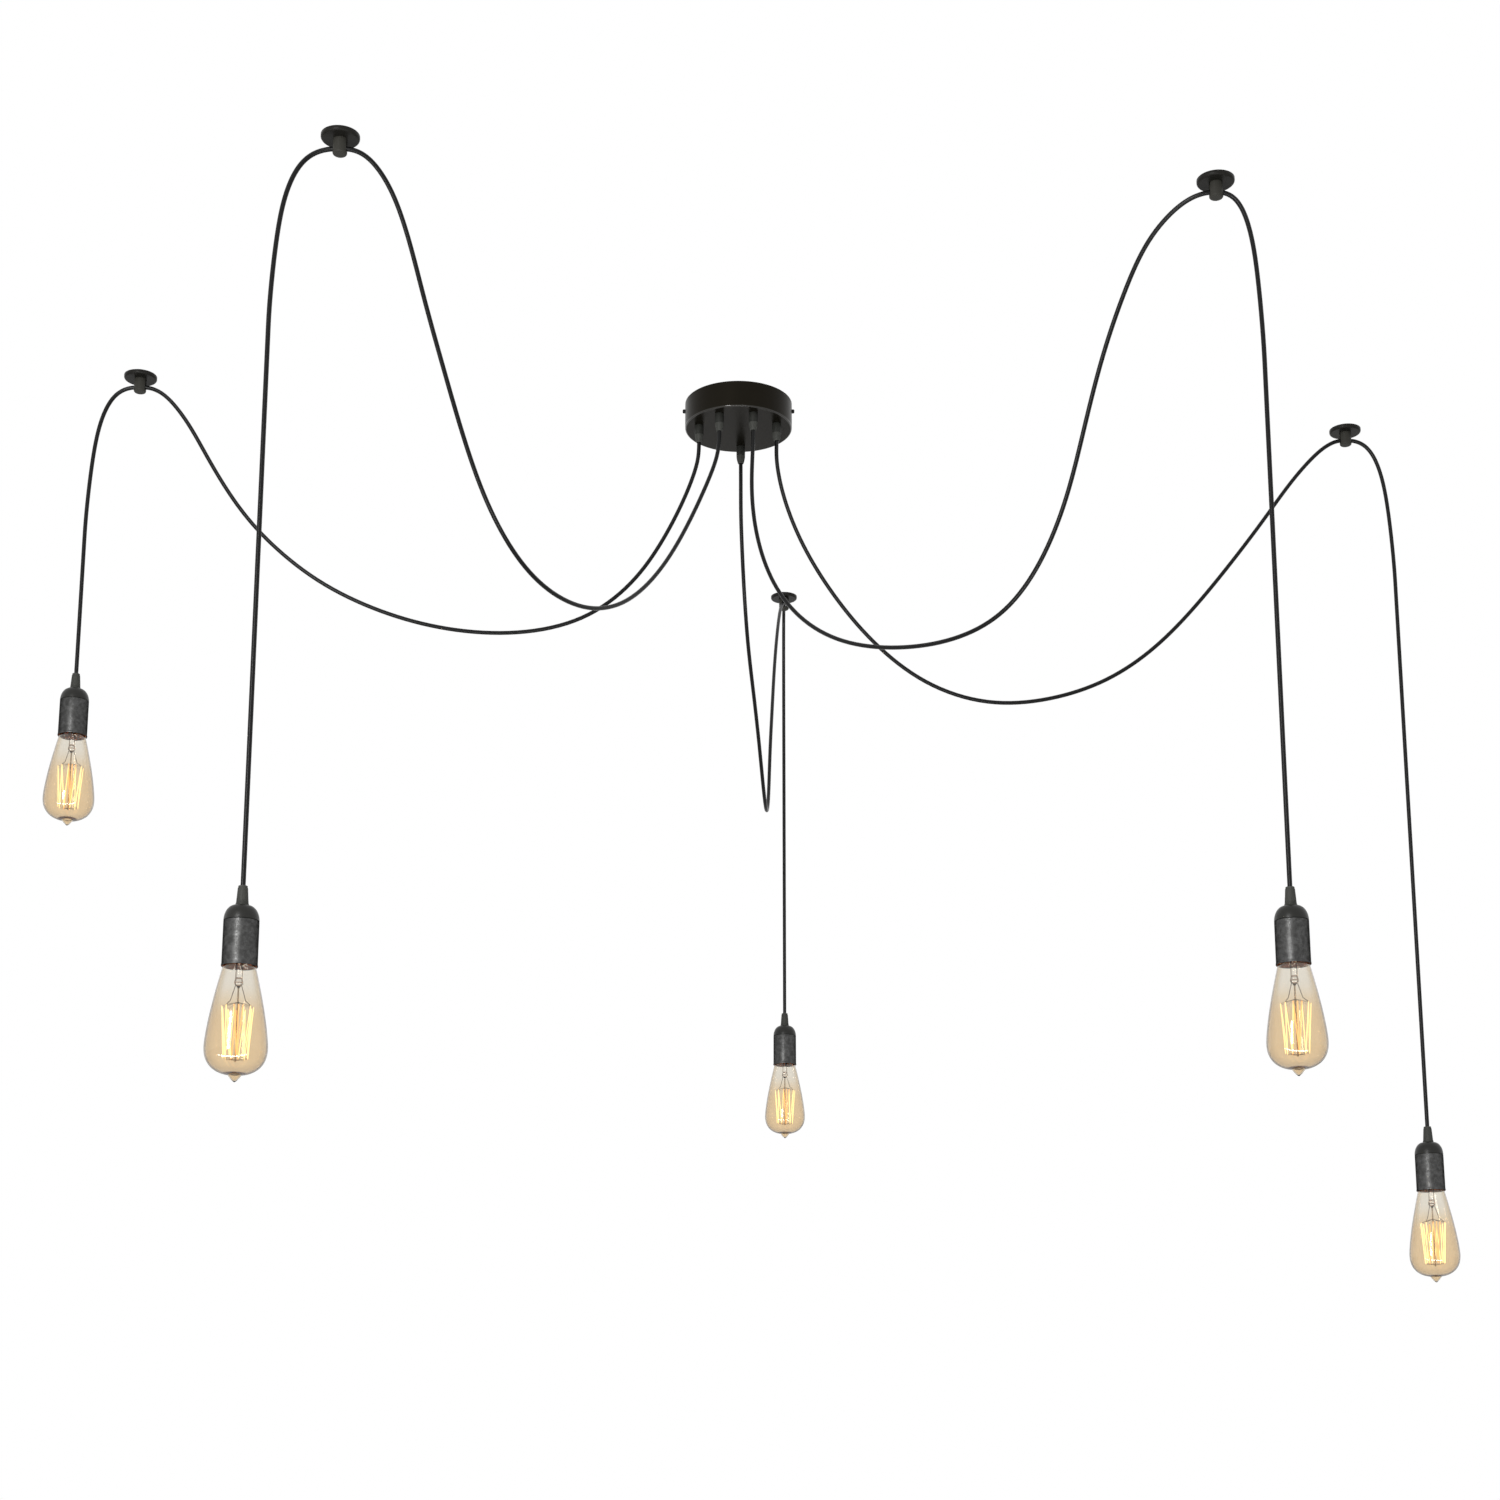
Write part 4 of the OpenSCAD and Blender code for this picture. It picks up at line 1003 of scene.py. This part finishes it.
def bulb():
    """The glass shell, open inside its neck."""
    tip = MOUTH_Z - BULB_WIDE_DEPTH - BULB_END_H - NOSE_H
    inner_tip = tip + 2 * GLASS_WALL
    nose = nose_line(NOSE_R, MOUTH_Z - end_depth(NOSE_R, 0), tip)
    inner_top = MOUTH_Z - end_depth(NOSE_R, GLASS_WALL)
    hollow = nose_line(NOSE_R - GLASS_WALL, inner_top, inner_tip)
    neck_in, shoulder_in = NECK_R - GLASS_WALL, SHOULDER - GLASS_WALL
    return turned([
        (0, inner_tip), *hollow[::-1], *bulb_side(GLASS_WALL)[::-1],
        (SHOULDER_R - GLASS_WALL, shoulder_in), (neck_in, shoulder_in), (neck_in, NECK_TOP),
        (NECK_R, NECK_TOP), (NECK_R, SHOULDER), (SHOULDER_R, SHOULDER), *bulb_side(0), *nose,
        (0, tip),
    ], closed=False, turns=LAMP_TURNS)


at_lamps("glass", mesh_of(bulb(), "glass"), "bulb", "amber_glass", "bulb_glass")
print("bulbs made")

# %% [markdown]
# Inside the bulb a clear glass stem comes down from a flare in the neck to a pinch, which seals the
# two lead wires. A thin glass rod goes on down the middle, with fine support wires at two levels.
# Between them runs one long filament in hairpins: wide at the top, drawn together at the foot. The
# strands in front of the rod and behind it read as orange, the others as a pale yellow.

# %% Stem, supports and filament
STEM_R = 0.0037
ROD_R = 0.0009
CAGE_TOP_Z = MOUTH_Z - 0.042
CAGE_FOOT_Z = MOUTH_Z - 0.095
CAGE_TOP_R = 0.016
CAGE_FOOT_R = 0.0125
CAGE_LOOPS = 11
CAGE_STEP = math.tau / CAGE_LOOPS
FRONT = math.radians(-90)
PINCH_HALF = 0.001
PINCH_SWELL = 0.0009
PINCH_FOOT = PINCH_Z - 0.005
ROD_TIP_Z = CAGE_FOOT_Z - 0.0039
UPPER_HUB_Z = CAGE_TOP_Z + 0.005
LOWER_HUB_Z = CAGE_FOOT_Z - 0.002
SUPPORT_D = 0.0003
LEAD_D = 0.0007
BRIGHT_D = 0.0007
ORANGE_D = 0.0012
WIRE_ROUNDS = 2
STEM_TURNS = 32


def stem_glass():
    """Flare, tube, pinch and rod, turned as one."""
    rim_r, rim_z = NECK_R - GLASS_WALL - 0.0002, NECK_TOP - GLASS_WALL
    rim_foot, flare_h, flare_steps = rim_z - GLASS_WALL, 0.011, 8
    melted, pressed, pinch_r = 0.001, 0.0008, STEM_R + PINCH_SWELL
    shares = [step / flare_steps for step in range(flare_steps + 1)]
    flare = [
        (STEM_R + (rim_r - STEM_R) * (1 - share) ** 3, rim_foot - flare_h * share)
        for share in shares
    ]
    return turned([
        (0, rim_z), (rim_r, rim_z), *flare, (STEM_R, PINCH_Z + 0.004, melted),
        (pinch_r, PINCH_Z + PINCH_HALF, pressed), (pinch_r, PINCH_Z - PINCH_HALF, pressed),
        (ROD_R, PINCH_FOOT, melted), (ROD_R, ROD_TIP_Z + ROD_R), (0, ROD_TIP_Z),
    ], closed=False, turns=STEM_TURNS)


def around(radius, turn, height):
    """A point at a radius and a turn round the lamp's axis."""
    return Vector((radius * math.cos(turn), radius * math.sin(turn), height))


def cage_top(loop):
    """Where the filament hangs on an upper support."""
    return around(CAGE_TOP_R, FRONT + (loop + 0.5) * CAGE_STEP, CAGE_TOP_Z)


def cage_foot(loop):
    """Where the filament passes under a lower support."""
    return around(CAGE_FOOT_R, FRONT + loop * CAGE_STEP, CAGE_FOOT_Z)


def strands(middle):
    """The hairpin strands: those before and behind the rod, or all the others."""
    loops = range(CAGE_LOOPS)
    legs = [(cage_foot(loop), cage_top(loop - side)) for loop in loops for side in (0, 1)]
    slack = 1e-4
    reach = CAGE_TOP_R * math.sin(CAGE_STEP / 2) + slack
    chosen = [leg for leg in legs if (max(abs(end.x) for end in leg) < reach) == middle]
    return chosen + ([(cage_foot(0), cage_top(0).lerp(cage_top(-1), 0.5))] if middle else [])


def supports():
    """Fine wires from two beads on the rod to the filament's bends."""
    tops = [[UPPER_HUB_Z * UP, cage_top(loop)] for loop in range(CAGE_LOOPS)]
    return tops + [[LOWER_HUB_Z * UP, cage_foot(loop)] for loop in range(CAGE_LOOPS)]


def leads():
    """The two stout wires that carry the current from the pinch to the filament's ends."""
    way = [(0.0025, 0, PINCH_Z), (0.0032, 0, PINCH_Z - 0.003), (0.0076, -0.003, CAGE_TOP_Z + 0.006)]
    return [
        [*[Vector((side * x, y, z)) for x, y, z in way], cage_top(loop)]
        for side, loop in ((-1, -2), (1, 1))
    ]


stem = mesh_of(stem_glass(), "stem_glass")
at_lamps("stem_glass", stem, "bulb", "filament", "bulb_filament")
for name, lines, wire in (("supports", supports(), SUPPORT_D), ("leads", leads(), LEAD_D)):
    wires = tube_mesh(name, lines, wire, WIRE_ROUNDS)
    at_lamps(name, wires, "bulb", "filament", finish="support_wire")
for name, middle, wire in (("bright", False, BRIGHT_D), ("orange", True, ORANGE_D)):
    cage = tube_mesh(f"{name}_strands", strands(middle), wire, WIRE_ROUNDS)
    at_lamps(f"{name}_strands", cage, "bulb", "filament", finish=f"{name}_strand")
print("filaments made")

# %% [markdown]
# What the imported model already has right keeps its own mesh: canopy, bracket, screws, connectors,
# nuts, leads, hooks, socket inserts and caps. Each of them only takes the finish of its slot.

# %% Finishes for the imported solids
slots = {part["node"]: part["material_slot"] for part in frame["record"]["subparts"]}
for name, node in frame["nodes"].items():
    if node.hide_render:
        continue
    node.data.materials.clear()
    node.data.materials.append(FINISHES[slots[name]])
    print(name, "takes", slots[name])
